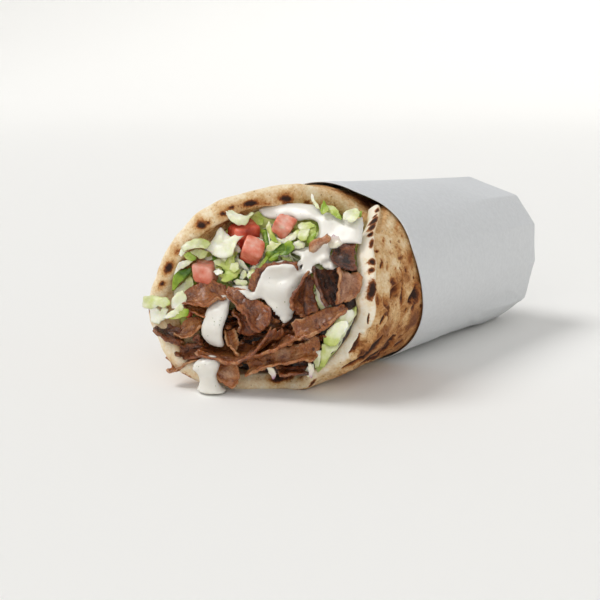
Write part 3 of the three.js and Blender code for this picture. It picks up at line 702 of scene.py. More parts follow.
def near_line(line, across, along):
    """Distance from places to a line drawn among them, and the share of the way along it."""
    best, share = np.full_like(across, 1e6), np.zeros_like(across)
    for k, ((a0, b0), (a1, b1)) in enumerate(zip(line, line[1:])):
        length2 = (a1 - a0) ** 2 + (b1 - b0) ** 2
        t = np.clip(((across - a0) * (a1 - a0) + (along - b0) * (b1 - b0)) / length2, 0, 1)
        gap = np.hypot(across - a0 - t * (a1 - a0), along - b0 - t * (b1 - b0))
        share = np.where(gap < best, (k + t) / (len(line) - 1), share)
        best = np.minimum(best, gap)
    return best, share


def random_marks(seed, low, high, count, deepest):
    """Scorch marks on the bread that nothing else places, in a row behind the lip and scattered."""
    rng = np.random.default_rng(seed)
    row = [(at, rng.uniform(2, 4), rng.uniform(1.2, 3), rng.uniform(1.2, 1.9), rng.uniform(0.6, 1.05))
           for at in np.arange(low, min(high, ROW_END), ROW_STEP) + rng.uniform(-3, 3)]
    loose = []
    for _ in range(count):
        place = rng.uniform(low, high), rng.uniform(8, deepest)
        loose.append((*place, rng.uniform(2, 6), rng.uniform(1.6, 3.6), rng.uniform(0.35, 0.8)))
    return row + loose


def bread_grid():
    """Travel in degrees and mm behind the lip over the flatbread, and each place's Y."""
    travel = np.concatenate([np.linspace(-FREE_REACH, 112, 204), np.linspace(112, TURN, 240)[1:]])
    # The steps are finest round the lip's end, and coarse under the sleeve.
    tip = 4.6 * np.linspace(0, 1, 15)[:-1] ** 1.4
    steps = np.concatenate([tip, np.arange(4.6, 30, 0.6), np.linspace(30, 50, 20)[:-1],
                            np.linspace(50, STRETCHED, 12)[:-1], np.linspace(STRETCHED, 200, 12)])
    front = lip_at(travel) + 0.8 * np.sin(travel / 9.5) + 0.5 * np.sin(travel / 5.3 + 1)
    front = front + 0.9 * np.maximum(0, -travel)
    front = front + 0.5 * noise(np.stack([travel * ARC, 0 * travel, 0 * travel], -1), 5, 17)
    t, s = np.meshgrid(travel, steps, indexing="ij")
    front = front[:, None]
    stretch = (BREAD_BACK - front - STRETCHED) / (steps[-1] - STRETCHED)
    y = front + np.where(s < STRETCHED, s, STRETCHED + (s - STRETCHED) * stretch)
    return t, y - front, y


def half_thickness(t, behind, flat, tucked):
    """How far the flatbread's outer and inner faces stand off its middle, and how puffy its rim is."""
    # The rim is puffy, in lumps of 8 to 15 mm.
    puff = np.exp(-((behind / 9) ** 2)) * (0.75 + 1.1 * noise(flat * (1, 0.4, 1), 11, 12))
    # Where the outer lap's lip shows, it is a puffy roll with a dip behind it.
    lapping = smooth(100, 80, t)
    roll = 1.3 * np.exp(-(((behind - 2.8) / 3.2) ** 2)) * (0.9 + 0.6 * noise(flat * (1, 0.4, 1), 7, 13))
    roll = roll - 1.5 * np.exp(-(((behind - 7.6) / 2.2) ** 2)) * (0.8 + 0.4 * noise(flat, 9, 14))
    thinned = 1 - TUCK_THIN * tucked
    outer = THICKNESS / 2 + puff * (1 - lapping) + roll * lapping
    return outer * thinned, (THICKNESS / 2 + puff) * thinned, puff


def cut_gashes(middle, normal, half, flat):
    """How deep gashes are cut and how dark: scorch and painted shade. Placed as they show in the main view.
    """
    shown = in_view(middle + normal * half[..., None])
    faced = smooth(0.02, 0.12, np.sum(normal * unit(view_axes()[0] - middle), -1))
    cut, gash_scorch_and_shade = np.zeros_like(faced), np.zeros_like(faced)
    for wide, strength, line in GASHES:
        gap, share = near_line(line, shown[..., 0] + 1.2 * noise(flat, 4, 50), shown[..., 1])
        gap = gap * POINT / (wide * (0.45 + 0.65 * np.sin(np.pi * np.clip(share, 0.05, 0.95)) ** 0.6))
        cut += wide * (1.5 * np.exp(-(gap**2)) - 0.8 * np.exp(-((gap - 2.4) ** 2))) * faced
        # Where a gash faces the main view, its valley is painted dark: partly scorch, partly painted shade.
        gash_scorch_and_shade = np.maximum(gash_scorch_and_shade, strength * np.exp(-((gap / 1.05) ** 2)) * faced)
    return cut, gash_scorch_and_shade


def bread_scorch(t, behind):
    """How scorched the outer and inner faces are, and how toasted they are round the rim's marks."""
    end = round_end(behind)
    outer = scorched(OUTER_MARKS + random_marks(4, 118, 300, 26, 90), t, behind)
    inner = scorched(INNER_MARKS + random_marks(6, 0, 80, 10, 30), t, behind)
    # The bread is toasted for 3 mm round each mark on the rim.
    halo = [(at, back, wide + 2.6, deep + 1.5, 0.5 * strength)
            for at, back, wide, deep, strength in RIM_MARKS]
    outer = np.maximum(outer, scorched(RIM_MARKS, t, end))
    inner = np.maximum(inner, scorched(RIM_MARKS, t, -end))
    return outer, inner, scorched(halo, t, end), scorched(halo, t, -end)


def bread_sides():
    """The two faces of the flatbread as grids, with what colours them."""
    t, behind, y = bread_grid()
    tucked = smooth(56, 74, t) * smooth(128, 112, t) * np.exp(-((behind / 8) ** 2))
    middle = on_roll(FREE_EDGE - t, y, bread_inside(t, y) + THICKNESS / 2 + TUCK_IN * tucked)
    across = t * ARC
    flat = np.stack([across, behind, np.zeros_like(t)], -1)
    half_out, half_in, puff = half_thickness(t, behind, flat, tucked)
    from_ends = np.minimum(across + FREE_REACH * ARC, (TURN * ARC) - across)
    border = rounded(behind, RIM_ROUND) * rounded(BREAD_BACK - y, 3) * rounded(from_ends, 4.5)
    normal = grid_normals(middle)
    outward = np.stack([middle[..., 0], np.zeros_like(t), middle[..., 2] - axis_height(y)], -1)
    normal *= np.sign(np.sum(normal * outward, -1, keepdims=True))
    cut, gash_scorch_and_shade = cut_gashes(middle, normal, half_out * border, flat)
    outer_char, inner_char, halo_out, halo_in = bread_scorch(t, behind)
    # Relief: soft swells, blisters where the hot plate touched, pits between them, and scorched dips.
    soft = layered(flat, 16, 3)
    bubble = np.maximum(0, layered(flat, 8, 11, 2) - 0.1)
    pit = smooth(0.4, 0.7, noise(flat, 2.6, 5)) * smooth(-0.3, 0.3, noise(flat, 10, 6))
    relief_out = 0.8 * soft + 1.1 * bubble - 0.8 * pit - cut + 0.25 * noise(flat, 3.4, 8)
    relief_out = relief_out - 0.35 * smooth(0.5, 0.9, outer_char)
    # On top, the bread swells against the sleeve's edge.
    on_top = smooth(288, 305, t) * smooth(348, 325, t)
    relief_out = relief_out + 1.2 * on_top * np.exp(-(((y - 22) / 8) ** 2))
    soft_in = layered(flat, 13, 21)
    bubble_in = np.maximum(0, layered(flat, 7, 23, 2) - 0.1)
    relief_in = 0.5 * soft_in + 0.9 * bubble_in + 0.14 * noise(flat, 1.6, 25)
    relief_in = relief_in - 0.3 * smooth(0.5, 0.9, inner_char)
    outer = middle + normal * ((half_out + relief_out) * border)[..., None]
    inner = middle - normal * ((half_in + relief_in) * border)[..., None]
    # The roll rests on the table, and on the sleeve where that is under it.
    floor = (PAPER_THICK + GAP) * smooth(20, 46, y)
    outer[..., 2] = np.maximum(outer[..., 2], floor)
    inner[..., 2] = np.maximum(inner[..., 2], floor + 1.6 * (THICKNESS / 2 + puff) * border)
    # Toasting: least on the rim, more behind it and low on the outer lap. Painted shade darkens the bread
    # by the sleeve's edge, at the inner end and in the gashes, and the outer lap's lip is painted paler,
    # partly as painted light.
    rim = np.exp(-((behind / 4.5) ** 2))
    past_rim = smooth(2, 7, behind)
    bake_and_light_out = 0.2 + past_rim * (0.16 + 0.2 * soft + 0.35 * bubble + 0.55 * pit)
    # The gashes add their scorch and their painted shade.
    bake_and_light_out += 0.3 * outer_char + 0.25 * gash_scorch_and_shade
    # The last term darkens the inner end: painted shade under the sleeve's lifted edge.
    bake_and_light_out += 0.48 * halo_out + 0.09 * past_rim * smooth(120, 100, t) + 0.2 * smooth(316, 334, t)
    # Darker from 36 mm behind the lip on the outer lap: painted shade along the sleeve's edge.
    bake_and_light_out += 0.12 * smooth(36, 46, behind) * smooth(120, 100, t)
    bake_and_light_out += 0.05 * smooth(62, 84, t) * smooth(3, 9, behind)
    # The outer lap's lip is painted paler: partly less toasted, partly painted light so the roll reads
    # bright.
    bake_and_light_out -= (0.02 + 0.24 * smooth(100, 80, t)) * rim
    # The inner face is darkened at the inner end too: painted shade under the sleeve's lifted edge.
    bake_and_shade_in = 0.2 + 0.48 * halo_in + 0.2 * smooth(316, 334, t)
    bake_and_shade_in += past_rim * (0.2 + 0.2 * soft_in + 0.3 * bubble_in) + 0.3 * inner_char - 0.02 * rim
    return (outer, bake_and_light_out, np.maximum(outer_char, gash_scorch_and_shade)), (inner, bake_and_shade_in, inner_char)


def build_bread(finish):
    (outer, bake_and_light_out, char_and_gash_shade_out), (inner, bake_and_shade_in, char_in) = bread_sides()
    points, faces = two_sided(outer, inner)
    values = {"bake": both_sides(bake_and_light_out, bake_and_shade_in), "char": both_sides(char_and_gash_shade_out, char_in)}
    return make_piece("flatbread_roll", points, faces, finish, ("flatbread",), values)


# ---- Paper sleeve ----
def paper_edge(angle):
    return paper_edge_at((np.asarray(angle, float) + 90) % 360 - 90)


# Creases that run along the far end: angle, and share of the round section there.
CREASES = [
    (-90, 1.0), (-64, 1.06), (-36, 1.07), (-5, 1.0), (24, 1.045), (50, 1.035), (95, 1.0), (132, 1.05),
    (160, 1.03), (188, 1.0), (218, 1.07), (244, 1.06), (270, 1.0),
]
CREASED_FROM = 92.0
# The sheet's thickness, the steps round it, how deep the folded end is, how much of the section its
# corner takes, and the share that is left open in its middle.
SHEET, SLEEVE_AROUND = 0.3, 300
END_DEPTH, END_CORNER, END_HOLE = 6.3, 0.1, 0.005


def creased(angle):
    """Radius of the folded far end at an angle, as a share of the round section."""
    a = (angle + 90) % 360 - 90
    share = np.ones_like(a)
    for (a0, k0), (a1, k1) in zip(CREASES, CREASES[1:]):
        p = k0 * np.array([math.cos(math.radians(a0)), math.sin(math.radians(a0))])
        q = k1 * np.array([math.cos(math.radians(a1)), math.sin(math.radians(a1))])
        side = q - p
        way = np.cos(np.radians(a)) * side[1] - np.sin(np.radians(a)) * side[0]
        inside = (a >= a0) & (a <= a1)
        share = np.where(inside, (p[0] * side[1] - p[1] * side[0]) / np.where(inside, way, 1), share)
    return share


def sleeve_point(angle, y, share, out):
    """A point on the sleeve, out mm outside the solid's skin."""
    a = np.radians(angle)
    top = smooth(68, 96, angle) * (1 - smooth(120, 180, angle))
    lift = PAPER_LIFT * top * np.exp(-np.maximum(0, y - paper_edge(angle)) / PAPER_LIFT_LENGTH)
    folded = 1 + (creased(angle) - 1) * smooth(CREASED_FROM, PAPER_RUN - 8, y)
    x = (width_at(y) + lift + out) * share * folded * np.cos(a)
    z = axis_height(y) + (height_at(y) + lift + out) * share * folded * np.sin(a)
    return np.stack(np.broadcast_arrays(x, y, z), -1)


def sleeve_relief(angle, y):
    """Soft dents and creases in the sleeve, in mm."""
    arc = np.radians((angle + 90) % 360) * 42
    flat = np.stack(np.broadcast_arrays(arc, y, np.zeros_like(arc)), -1)
    round_it, along = flat[..., 0], flat[..., 1]
    lean = np.stack([round_it + 0.55 * along, along - 0.55 * round_it, flat[..., 2]], -1)
    dents = layered(flat, 30, 41, 2)
    streaks = layered(lean, (9, 38, 9), 46, 2)
    fold = np.maximum(0, 1 - np.abs(noise(lean, (26, 60, 26), 44)) * 7)
    low = 0.35 + 0.65 * smooth(30, -40, (angle + 90) % 360 - 90)
    strength = low * (0.5 + 0.5 * smooth(70, 130, y))
    return (0.7 * dents + 0.5 * streaks + 0.3 * fold) * strength * smooth(0, 8, y - paper_edge(angle))


def build_paper(finish):
    angle = np.linspace(0, 360, SLEEVE_AROUND + 1)[:-1]
    whole = np.ones(SLEEVE_AROUND)
    rows = [paper_edge(angle) + (PAPER_RUN - paper_edge(angle)) * t for t in np.linspace(0, 1, 74)]
    shares = [whole] * len(rows)
    # A tight corner, then the flat end.
    for turn in np.linspace(0, np.pi / 2, 9)[1:]:
        rows.append(whole * (PAPER_RUN + END_DEPTH * math.sin(turn)))
        shares.append(whole * (1 - END_CORNER * (1 - math.cos(turn))))
    for t in np.linspace(0, 1, 22)[1:]:
        rows.append(whole * (PAPER_RUN + END_DEPTH))
        shares.append(whole * (1 - END_CORNER - (1 - END_CORNER - END_HOLE) * t))
    y, share = np.array(rows), np.array(shares)
    a = np.broadcast_to(angle, y.shape)
    relief = sleeve_relief(a, y) * smooth(0.85, 1, share)
    # The flat end dips between its folds.
    disc = np.stack([share * np.cos(np.radians(a)) * 40, share * np.sin(np.radians(a)) * 40, 0 * a], -1)
    y = y + 1.4 * layered(disc, 22, 49, 2) * smooth(0.92, 0.7, share)
    outer = sleeve_point(a, y, share, relief)
    inner = sleeve_point(a, y - SHEET * smooth(0.99, 0.9, share), share, relief - SHEET)
    for side, least in ((outer, 0.0), (inner, SHEET)):
        side[..., 2] = np.maximum(side[..., 2], least)
    rings = np.concatenate([outer[::-1], inner])
    index = np.arange(rings.shape[0] * SLEEVE_AROUND).reshape(rings.shape[0], SLEEVE_AROUND)
    index = np.concatenate([index, index[:, :1]], 1)
    faces = grid_faces(index).tolist() + [index[0, :-1][::-1].tolist(), index[-1, :-1].tolist()]
    make_piece("paper_wrapper", rings.reshape(-1, 3), faces, finish, ("paper_sleeve",))
    build_folds(finish)


# Flaps folded over the far end, each under the next: corners [angle, share of the section] from
# its fold to its tip, and how far it stands off the end.
END_FLAPS = {
    "left": ([(150, 0.86), (212, 0.86), (300, 0.3), (60, 0.3)], 0.5),
    "right": ([(-32, 0.86), (33, 0.86), (125, 0.32), (238, 0.3)], 0.9),
    "top": ([(143, 0.86), (40, 0.86), (-50, 0.28), (-125, 0.3)], 1.5),
    "bottom": ([(-42, 0.84), (-138, 0.84), (125, 0.36), (52, 0.34)], 2.1),
}
# How thick a flap is, and where the sleeve's own lap starts and how far it turns, in degrees.
FLAP_THICK, LAP_ANGLE, LAP_TURN = 0.28, 197, 22


def sheet(middle, reach):
    """A flap of paper about a grid of points, for how far each is from the flap's border."""
    half = FLAP_THICK / 2 * rounded(reach, 0.3)[..., None]
    normal = grid_normals(middle)
    return two_sided(middle + normal * half, middle - normal * half)


def build_folds(finish):
    folds = Batch()
    t, s = np.meshgrid(np.linspace(0, 1, 40), np.linspace(0, 1, 40), indexing="ij")
    axis = (0, axis_height(PAPER_POLE))
    for number, (corners, off) in enumerate(END_FLAPS.values()):
        a, b, c, d = ((on_roll(angle, PAPER_POLE, 0)[[0, 2]] - axis) * share + axis
                      for angle, share in corners)
        low = a + (b - a) * t[..., None]
        high = d + (c - d) * t[..., None]
        place = low + (high - low) * s[..., None]
        flat = np.stack([place[..., 0], place[..., 1], np.full_like(t, number * 9.0)], -1)
        y = PAPER_FACE - 0.6 + off * (0.45 + 0.55 * smooth(0, 0.5, s)) + 0.5 * layered(flat, 16, 52, 2)
        y = y + 0.5 * s**3
        middle = np.stack([place[..., 0], y, place[..., 1]], -1)
        folds.add(*sheet(middle, np.minimum(np.minimum(t, 1 - t), np.minimum(s, 1 - s)) * 40))
    # The sleeve's own edge laps over along the left side.
    y, lap = np.meshgrid(np.linspace(0, 1, 90), np.linspace(0, 1, 30), indexing="ij")
    angle = LAP_ANGLE + LAP_TURN * lap + 0.8 * np.sin(y * 9)
    y = paper_edge(angle) + 0.6 + (PAPER_RUN + 2 - paper_edge(angle)) * y
    off = 0.25 + 0.35 * lap * (1 - lap) * 4
    middle = sleeve_point(angle, y, np.ones_like(y), sleeve_relief(angle, y) + off)
    reach = np.minimum(np.minimum(lap, 1 - lap) * 16, np.minimum(y - y.min(), y.max() - y))
    folds.add(*sheet(middle, reach))
    folds.piece("paper_folds", finish, "paper")


# ---- Filling beds ----
# The lettuce's core lies this far behind the shreds on it, in mm.
LETTUCE_SINK = 3.5


def parting(x):
    """The height of the slope between the lettuce above and the meat below."""
    return SPLIT_HEIGHT + SPLIT_RISE * x


def bed_skin(out, lumps, seed, keep_side):
    """The skin of a bed that runs through the roll, on one side of the parting slope."""
    angles = np.linspace(0, 360, 121)[:-1]
    # The outermost rings stop just short of the wall.
    by_wall = 0.985
    rings = []
    for share in np.linspace(0, 1, 34)[1:] ** 0.8:
        p = core_point(angles, np.zeros_like(angles), np.full_like(angles, share))
        for _ in range(4):
            bump = lumps * layered(np.stack([p[:, 0], p[:, 2], 0 * p[:, 0]], -1), 7, seed)
            y = mouth_y(p[:, 0], p[:, 2]) - out * (1.15 - share * share) + bump
            if keep_side > 0:
                y = y - heap_out(p[:, 0], p[:, 2]) + LETTUCE_SINK
            p = core_point(angles, y, np.full_like(angles, share * by_wall))
        rings.append(p)
    edge = rings[-1]
    for t in (0.1, 0.3, 0.6, 1.0):
        y = edge[:, 1] + (FILLING_BACK - edge[:, 1]) * t
        rings.append(core_point(angles, y, np.full_like(angles, by_wall)))
    grid = np.array(rings)
    part = parting(grid[..., 0]) + keep_side * 0.3
    z = grid[..., 2]
    grid[..., 2] = np.where(keep_side * (z - part) < 0, part, z)
    count = len(angles)
    index = np.arange(grid.shape[0] * count).reshape(grid.shape[0], count)
    index = np.concatenate([index, index[:, :1]], 1)
    faces = grid_faces(index).tolist() + [index[0, :-1][::-1].tolist(), index[-1, :-1].tolist()]
    return grid.reshape(-1, 3), faces


# ---- Shaved meat ----
# As in the solids: three places [across, up, out] on each slice's near and far edge. tone runs from
# 0, roasted dark, to 1, pale and pink.
SLICES = {
    "upper_leaf": (0.5, [(-32.5, 38.5, 14), (-21, 39.5, 15), (-13, 41.5, 11)], [(-37, 40.5, 11),
        (-29, 47, 7), (-18, 46.5, 6)]),
    "upper_under": (0.55, [(-31.5, 36.5, 13), (-22.5, 34.5, 14), (-17.5, 36.5, 12)], [(-35, 37.5, 9),
        (-28, 36.5, 7), (-21, 38, 7)]),
    "middle_drape": (0.42, [(-11, 42, 13), (-2.5, 37, 14), (4, 28, 12)], [(-16.5, 46.5, 8),
        (-3, 42.5, 6), (7.5, 36, 7)]),
    "middle_flap": (0.34, [(-10, 37, 12), (-7.5, 32.5, 12), (-4.5, 27.5, 12)], [(-5, 36, 9),
        (-1.5, 32.5, 8), (0, 27, 7)]),
    "hollow_chip": (0.7, [(-12.5, 27, 11), (-10, 22, 12), (-5.5, 18.5, 12)], [(-11, 29, 7),
        (-9, 25.5, 7), (-7, 21, 8)]),
    "low_cradle": (0.42, [(-21.5, 19.5, 19), (-2.5, 16.5, 15), (8, 32, 9)], [(-27, 20.5, 4),
        (-10.5, 20, 0), (11, 28.5, 0)]),
    "long_edge": (0.45, [(-1, 17.5, 13), (10, 22.5, 12), (20, 28, 10)], [(-6, 17.5, 3), (3, 22, 2),
        (13, 28.5, 2)]),
    "long_ribbon": (0.56, [(19.5, 27.5, 10), (29, 32, 9), (37, 41.5, 6)], [(14, 32.5, 6), (24.5, 39, 4),
        (34.5, 42.5, 0)]),
    "low_shelf": (0.62, [(-0.5, 11, 12), (13.5, 17, 11), (27.5, 19.5, 9)], [(-1, 16.5, 7),
        (12.5, 22.5, 4), (25.5, 28, 1)]),
    "low_pocket": (0.3, [(11, 10.5, 9), (17, 11, 9), (23, 13, 7)], [(6.5, 12.5, 3), (13, 14, 2),
        (20.5, 14.5, 2)]),
    "low_chip": (0.6, [(-4.5, 8.5, 12), (0.5, 10.5, 12), (5, 14, 10)], [(-5, 14.5, 8), (-1, 16, 7),
        (2.5, 16, 6)]),
    "front_hang": (0.68, [(-14.5, 8, 15), (-12, 3.5, 15), (-6, 3, 15)], [(-16, 13.5, 11),
        (-12.5, 14.5, 10), (-7, 14, 10)]),
    "left_low": (0.6, [(-40.5, 7, 15), (-32.5, 9, 16), (-24.5, 15.5, 14)], [(-44, 12, 9),
        (-38.5, 15, 9), (-30.5, 18.5, 8)]),
    "left_tip": (0.24, [(-43.5, 26.5, 16), (-38, 22.5, 16.5), (-31, 19.5, 15)], [(-47, 27.5, 10),
        (-42, 28, 9), (-34, 24.5, 8)]),
    "left_crumble": (0.36, [(-36.5, 16, 14), (-30, 14, 14.5), (-22.5, 17, 13)], [(-37.5, 20, 8),
        (-33, 19.5, 7), (-27, 20.5, 6)]),
    "left_curl": (0.6, [(-34.5, 26, 14), (-28.5, 24.5, 14), (-23, 30, 13)], [(-36, 25.5, 8),
        (-33.5, 30, 7), (-26, 30.5, 7)]),
    "left_loop": (0.3, [(-27, 21.5, 13), (-25.5, 25.5, 13), (-23.5, 26.5, 12)], [(-28.5, 17.5, 6),
        (-29.5, 20, 5), (-28, 22, 5)]),
    "right_top": (0.22, [(28, 62, 10), (33.5, 58, 9), (38.5, 57, 5)], [(24.5, 64, 5), (27, 66, 3),
        (32.5, 65.5, 0)]),
    "right_edge": (0.62, [(32.5, 58, 11), (36.5, 53, 12), (36.5, 44.5, 11)], [(37.5, 57, 2),
        (40.5, 49.5, 2), (36.5, 41, 3)]),
    # right_inner's low tone is painted shade: the slice lies in the dark hollow behind the right-hand
    # slices.
    "right_inner": (0.12, [(22.5, 57, 11), (26.5, 50.5, 11), (31, 42.5, 9)], [(27, 56, -2),
        (31, 50, -4), (32, 42.5, -2)]),
    "centre_stand": (0.34, [(22.5, 54.5, 12), (18, 47.5, 13), (18.5, 39, 12)], [(21, 52, 5),
        (22, 45.5, 3), (24.5, 38, 3)]),
    "sauced_arch": (0.4, [(-5.5, 45, 8), (-2, 55.5, 8), (14.5, 58, 8)], [(-3, 40, 1), (1.5, 47, 0),
        (10.5, 50.5, 0)]),
    "peeking_strip": (0.75, [(17.5, 65.5, 11), (20.5, 68, 11), (23.5, 70, 10)], [(17, 61.5, 8),
        (20.5, 64.5, 8), (24, 67.5, 7)]),
}


# Where packed slices may lie: across, up and out of the mouth's face. Crumbs lie within CRUMB_REACH of
# the middle.
PACKED_SPAN = ((-40, 38), (9, 62), (-8, 1))
CRUMB_REACH = 34


def through(places, u):
    """A bend through three places, at shares u of its way."""
    a, b, c = (np.array(p, float) for p in places)
    bend = 2 * b - (a + c) / 2
    u = u[..., None]
    return (1 - u) ** 2 * a + 2 * u * (1 - u) * bend + u**2 * c


def slice_mesh(near, far, seed, thickness=0.6 * MEAT_THICKNESS, step=0.36):
    """One shaved slice: its points, faces, rim and grain."""
    near, far = np.array(near, float), np.array(far, float)
    chord = np.linalg.norm(near[0] - near[1]) + np.linalg.norm(near[1] - near[2])
    depth = np.linalg.norm(near[1] - far[1])
    steps = [np.linspace(0, 1, max(14, round(length / step))) for length in (chord, depth)]
    u, v = np.meshgrid(*steps, indexing="ij")
    place = np.stack([u * chord, v * depth, np.full_like(u, seed * 7.0)], -1)
    # A torn outline: waves of 6 mm, teeth of 1.5 mm and a few deeper nicks.
    tears = []
    for axis, mask in enumerate(((0, 1, 1), (1, 0, 1))):
        at = place * mask
        nick = np.maximum(0, noise(at, 3.2, seed + 20 + axis) - 0.25)
        tear = 0.9 * noise(at, 6, seed + axis) + 0.5 * noise(at, 1.3, seed + 2 + axis) - 2.2 * nick
        tears.append(tear + 0.35 * noise(at, 0.9, seed + 40 + axis))
    uu = u + (u - 0.5) * 2 * tears[0] / chord
    vv = v + (v - 0.5) * 2 * tears[1] / depth
    p, q = through(near, uu), through(far, uu)
    middle = face_point(p + (q - p) * vv[..., None])
    normal = grid_normals(middle)
    curl = 1.1 * noise(place * (1, 0, 1), 9, seed + 30) * (2 * v - 1) ** 2
    folds = 1 - 2.4 * np.abs(noise(place, (7, 11, 7), seed + 31))
    bow = MEAT_BOW * (1 + 0.5 * (seed % 4)) * 4 * v * (1 - v)
    wave = bow + 0.9 * noise(place, 9, seed + 4) + 0.3 * noise(place, 3.2, seed + 5) + curl + 0.7 * folds
    middle = middle + normal * wave[..., None]
    normal = grid_normals(middle)
    reach = np.minimum(np.minimum(u, 1 - u) * chord, np.minimum(v, 1 - v) * depth)
    inner = rounded(reach, 0.6)
    half = thickness / 2 * inner * (0.85 + 0.35 * noise(place, 4, seed + 7))
    # Grain runs along the slice, between shallow lumps and pits.
    sides, grains = [], []
    for side, sign in enumerate((1, -1)):
        fibre = noise(place, (8, 1.1, 9), seed + 6 + side)
        lumps = 0.26 * noise(place, 2.6, seed + 8 + side) + 0.13 * noise(place, 1.1, seed + 10 + side)
        sides.append(middle + normal * (sign * (half + (0.16 * fibre + lumps) * inner))[..., None])
        grains.append(0.7 * fibre + 1.7 * lumps)
    points, faces = two_sided(*sides)
    # The rim is crisp, 0.6 mm wide and broken, with a browned zone of 3 mm behind it.
    crisp = 1 - smooth(0.1, 0.65, reach + 0.3 * noise(place, 1.5, seed + 12))
    crisp = crisp * smooth(-0.4, 0.4, noise(place, 2.6, seed + 13))
    browned = 0.5 * (1 - smooth(0.3, 3.4, reach + 1.2 * noise(place, 5, seed + 14)))
    rim = np.maximum(crisp, browned)
    return points, faces, both_sides(rim, rim), both_sides(*grains)


def build_slices(finish):
    for number, (name, (tone, near, far)) in enumerate(SLICES.items()):
        points, faces, rim, grain = slice_mesh(near, far, number + 3)
        values = {"edge": rim, "grain": grain, "tone": np.full(len(points), tone)}
        make_piece(f"slice_{name}", points, faces, finish, (f"meat_{name}",), values)


def random_slices(rng, count):
    """Near and far edges of slices packed behind those that stand out."""
    made = []
    while len(made) < count:
        x, z, out = (rng.uniform(*span) for span in PACKED_SPAN)
        y = mouth_y(x, z)
        wall = on_roll(0, y, wall_inside(angle_of(x, z), np.array(y)))
        roof = parting(x) - 2 + 12 * smooth(18, 26, x)
        if z > roof or math.hypot(x, z - MIDDLE_UP) > wall[..., 0] - 4:
            continue
        lean, length = rng.uniform(-0.5, 0.7), rng.uniform(9, 19)
        half = np.array([math.cos(lean), math.sin(lean)]) * length / 2
        bend, rise = rng.uniform(-3, 3), rng.uniform(4, 7)
        near = [(x - half[0], z - half[1], out), (x, z + bend, out + 1),
                (x + half[0], z + half[1], out - 1)]
        far = [(px + rng.uniform(-2, 2), pz + rise, po - rng.uniform(5, 8)) for px, pz, po in near]
        made.append((near, far))
    return made


def build_packed(finish, slices, crumbs):
    rng = np.random.default_rng(11)
    packed = Batch()
    for number, (near, far) in enumerate(random_slices(rng, slices)):
        points, faces, rim, grain = slice_mesh(near, far, number + 60, rng.uniform(1.3, 2.2), 0.6)
        packed.add(points, faces, edge=rim, grain=grain, tone=rng.uniform(0.12, 0.5))
    # Crumbs broken off the slices.
    for number in range(crumbs):
        x, z = rng.uniform(-42, 36), rng.uniform(8, 40)
        points, faces = lump(rng.uniform(0.6, 1.5), number)
        points = points + face_point((x, z, rng.uniform(2, 9)))
        if math.hypot(x, z - MIDDLE_UP) > CRUMB_REACH or z > parting(x):
            continue
        packed.add(points, faces, edge=rng.uniform(0, 0.9), grain=0.0, tone=rng.uniform(0.15, 0.55))
    packed.piece("packed_slices", finish, "meat")


def build_meat_bed(finish):
    points, faces = bed_skin(-MEAT_RECESS, 2.5, 81, -1)
    tone = 0.1 + 0.2 * layered(points, 8, 3)
    values = {"tone": tone, "edge": np.zeros(len(points)), "grain": noise(points, (6, 6, 1.2), 7)}
    make_piece("packed_meat", points, faces, finish, ("meat_bed",), values)


def mesh_parts(block):
    """The points and the faces' corners of a bmesh, which is freed."""
    block.verts.index_update()
    points = np.array([v.co for v in block.verts])
    faces = [[v.index for v in f.verts] for f in block.faces]
    block.free()
    return points, faces


def lump(size, seed, finely=2):
    """A crumb: an uneven round of about size mm radius."""
    block = bmesh.new()
    bmesh.ops.create_icosphere(block, subdivisions=finely, radius=1)
    p, faces = mesh_parts(block)
    stretch = np.array([1.3, 0.8, 0.7])[np.roll(np.arange(3), seed % 3)]
    swell = 1 + 0.3 * noise(p, 0.9, seed)[:, None] + 0.15 * noise(p, 0.4, seed + 1)[:, None]
    return p * size * stretch * swell, np.array(faces)


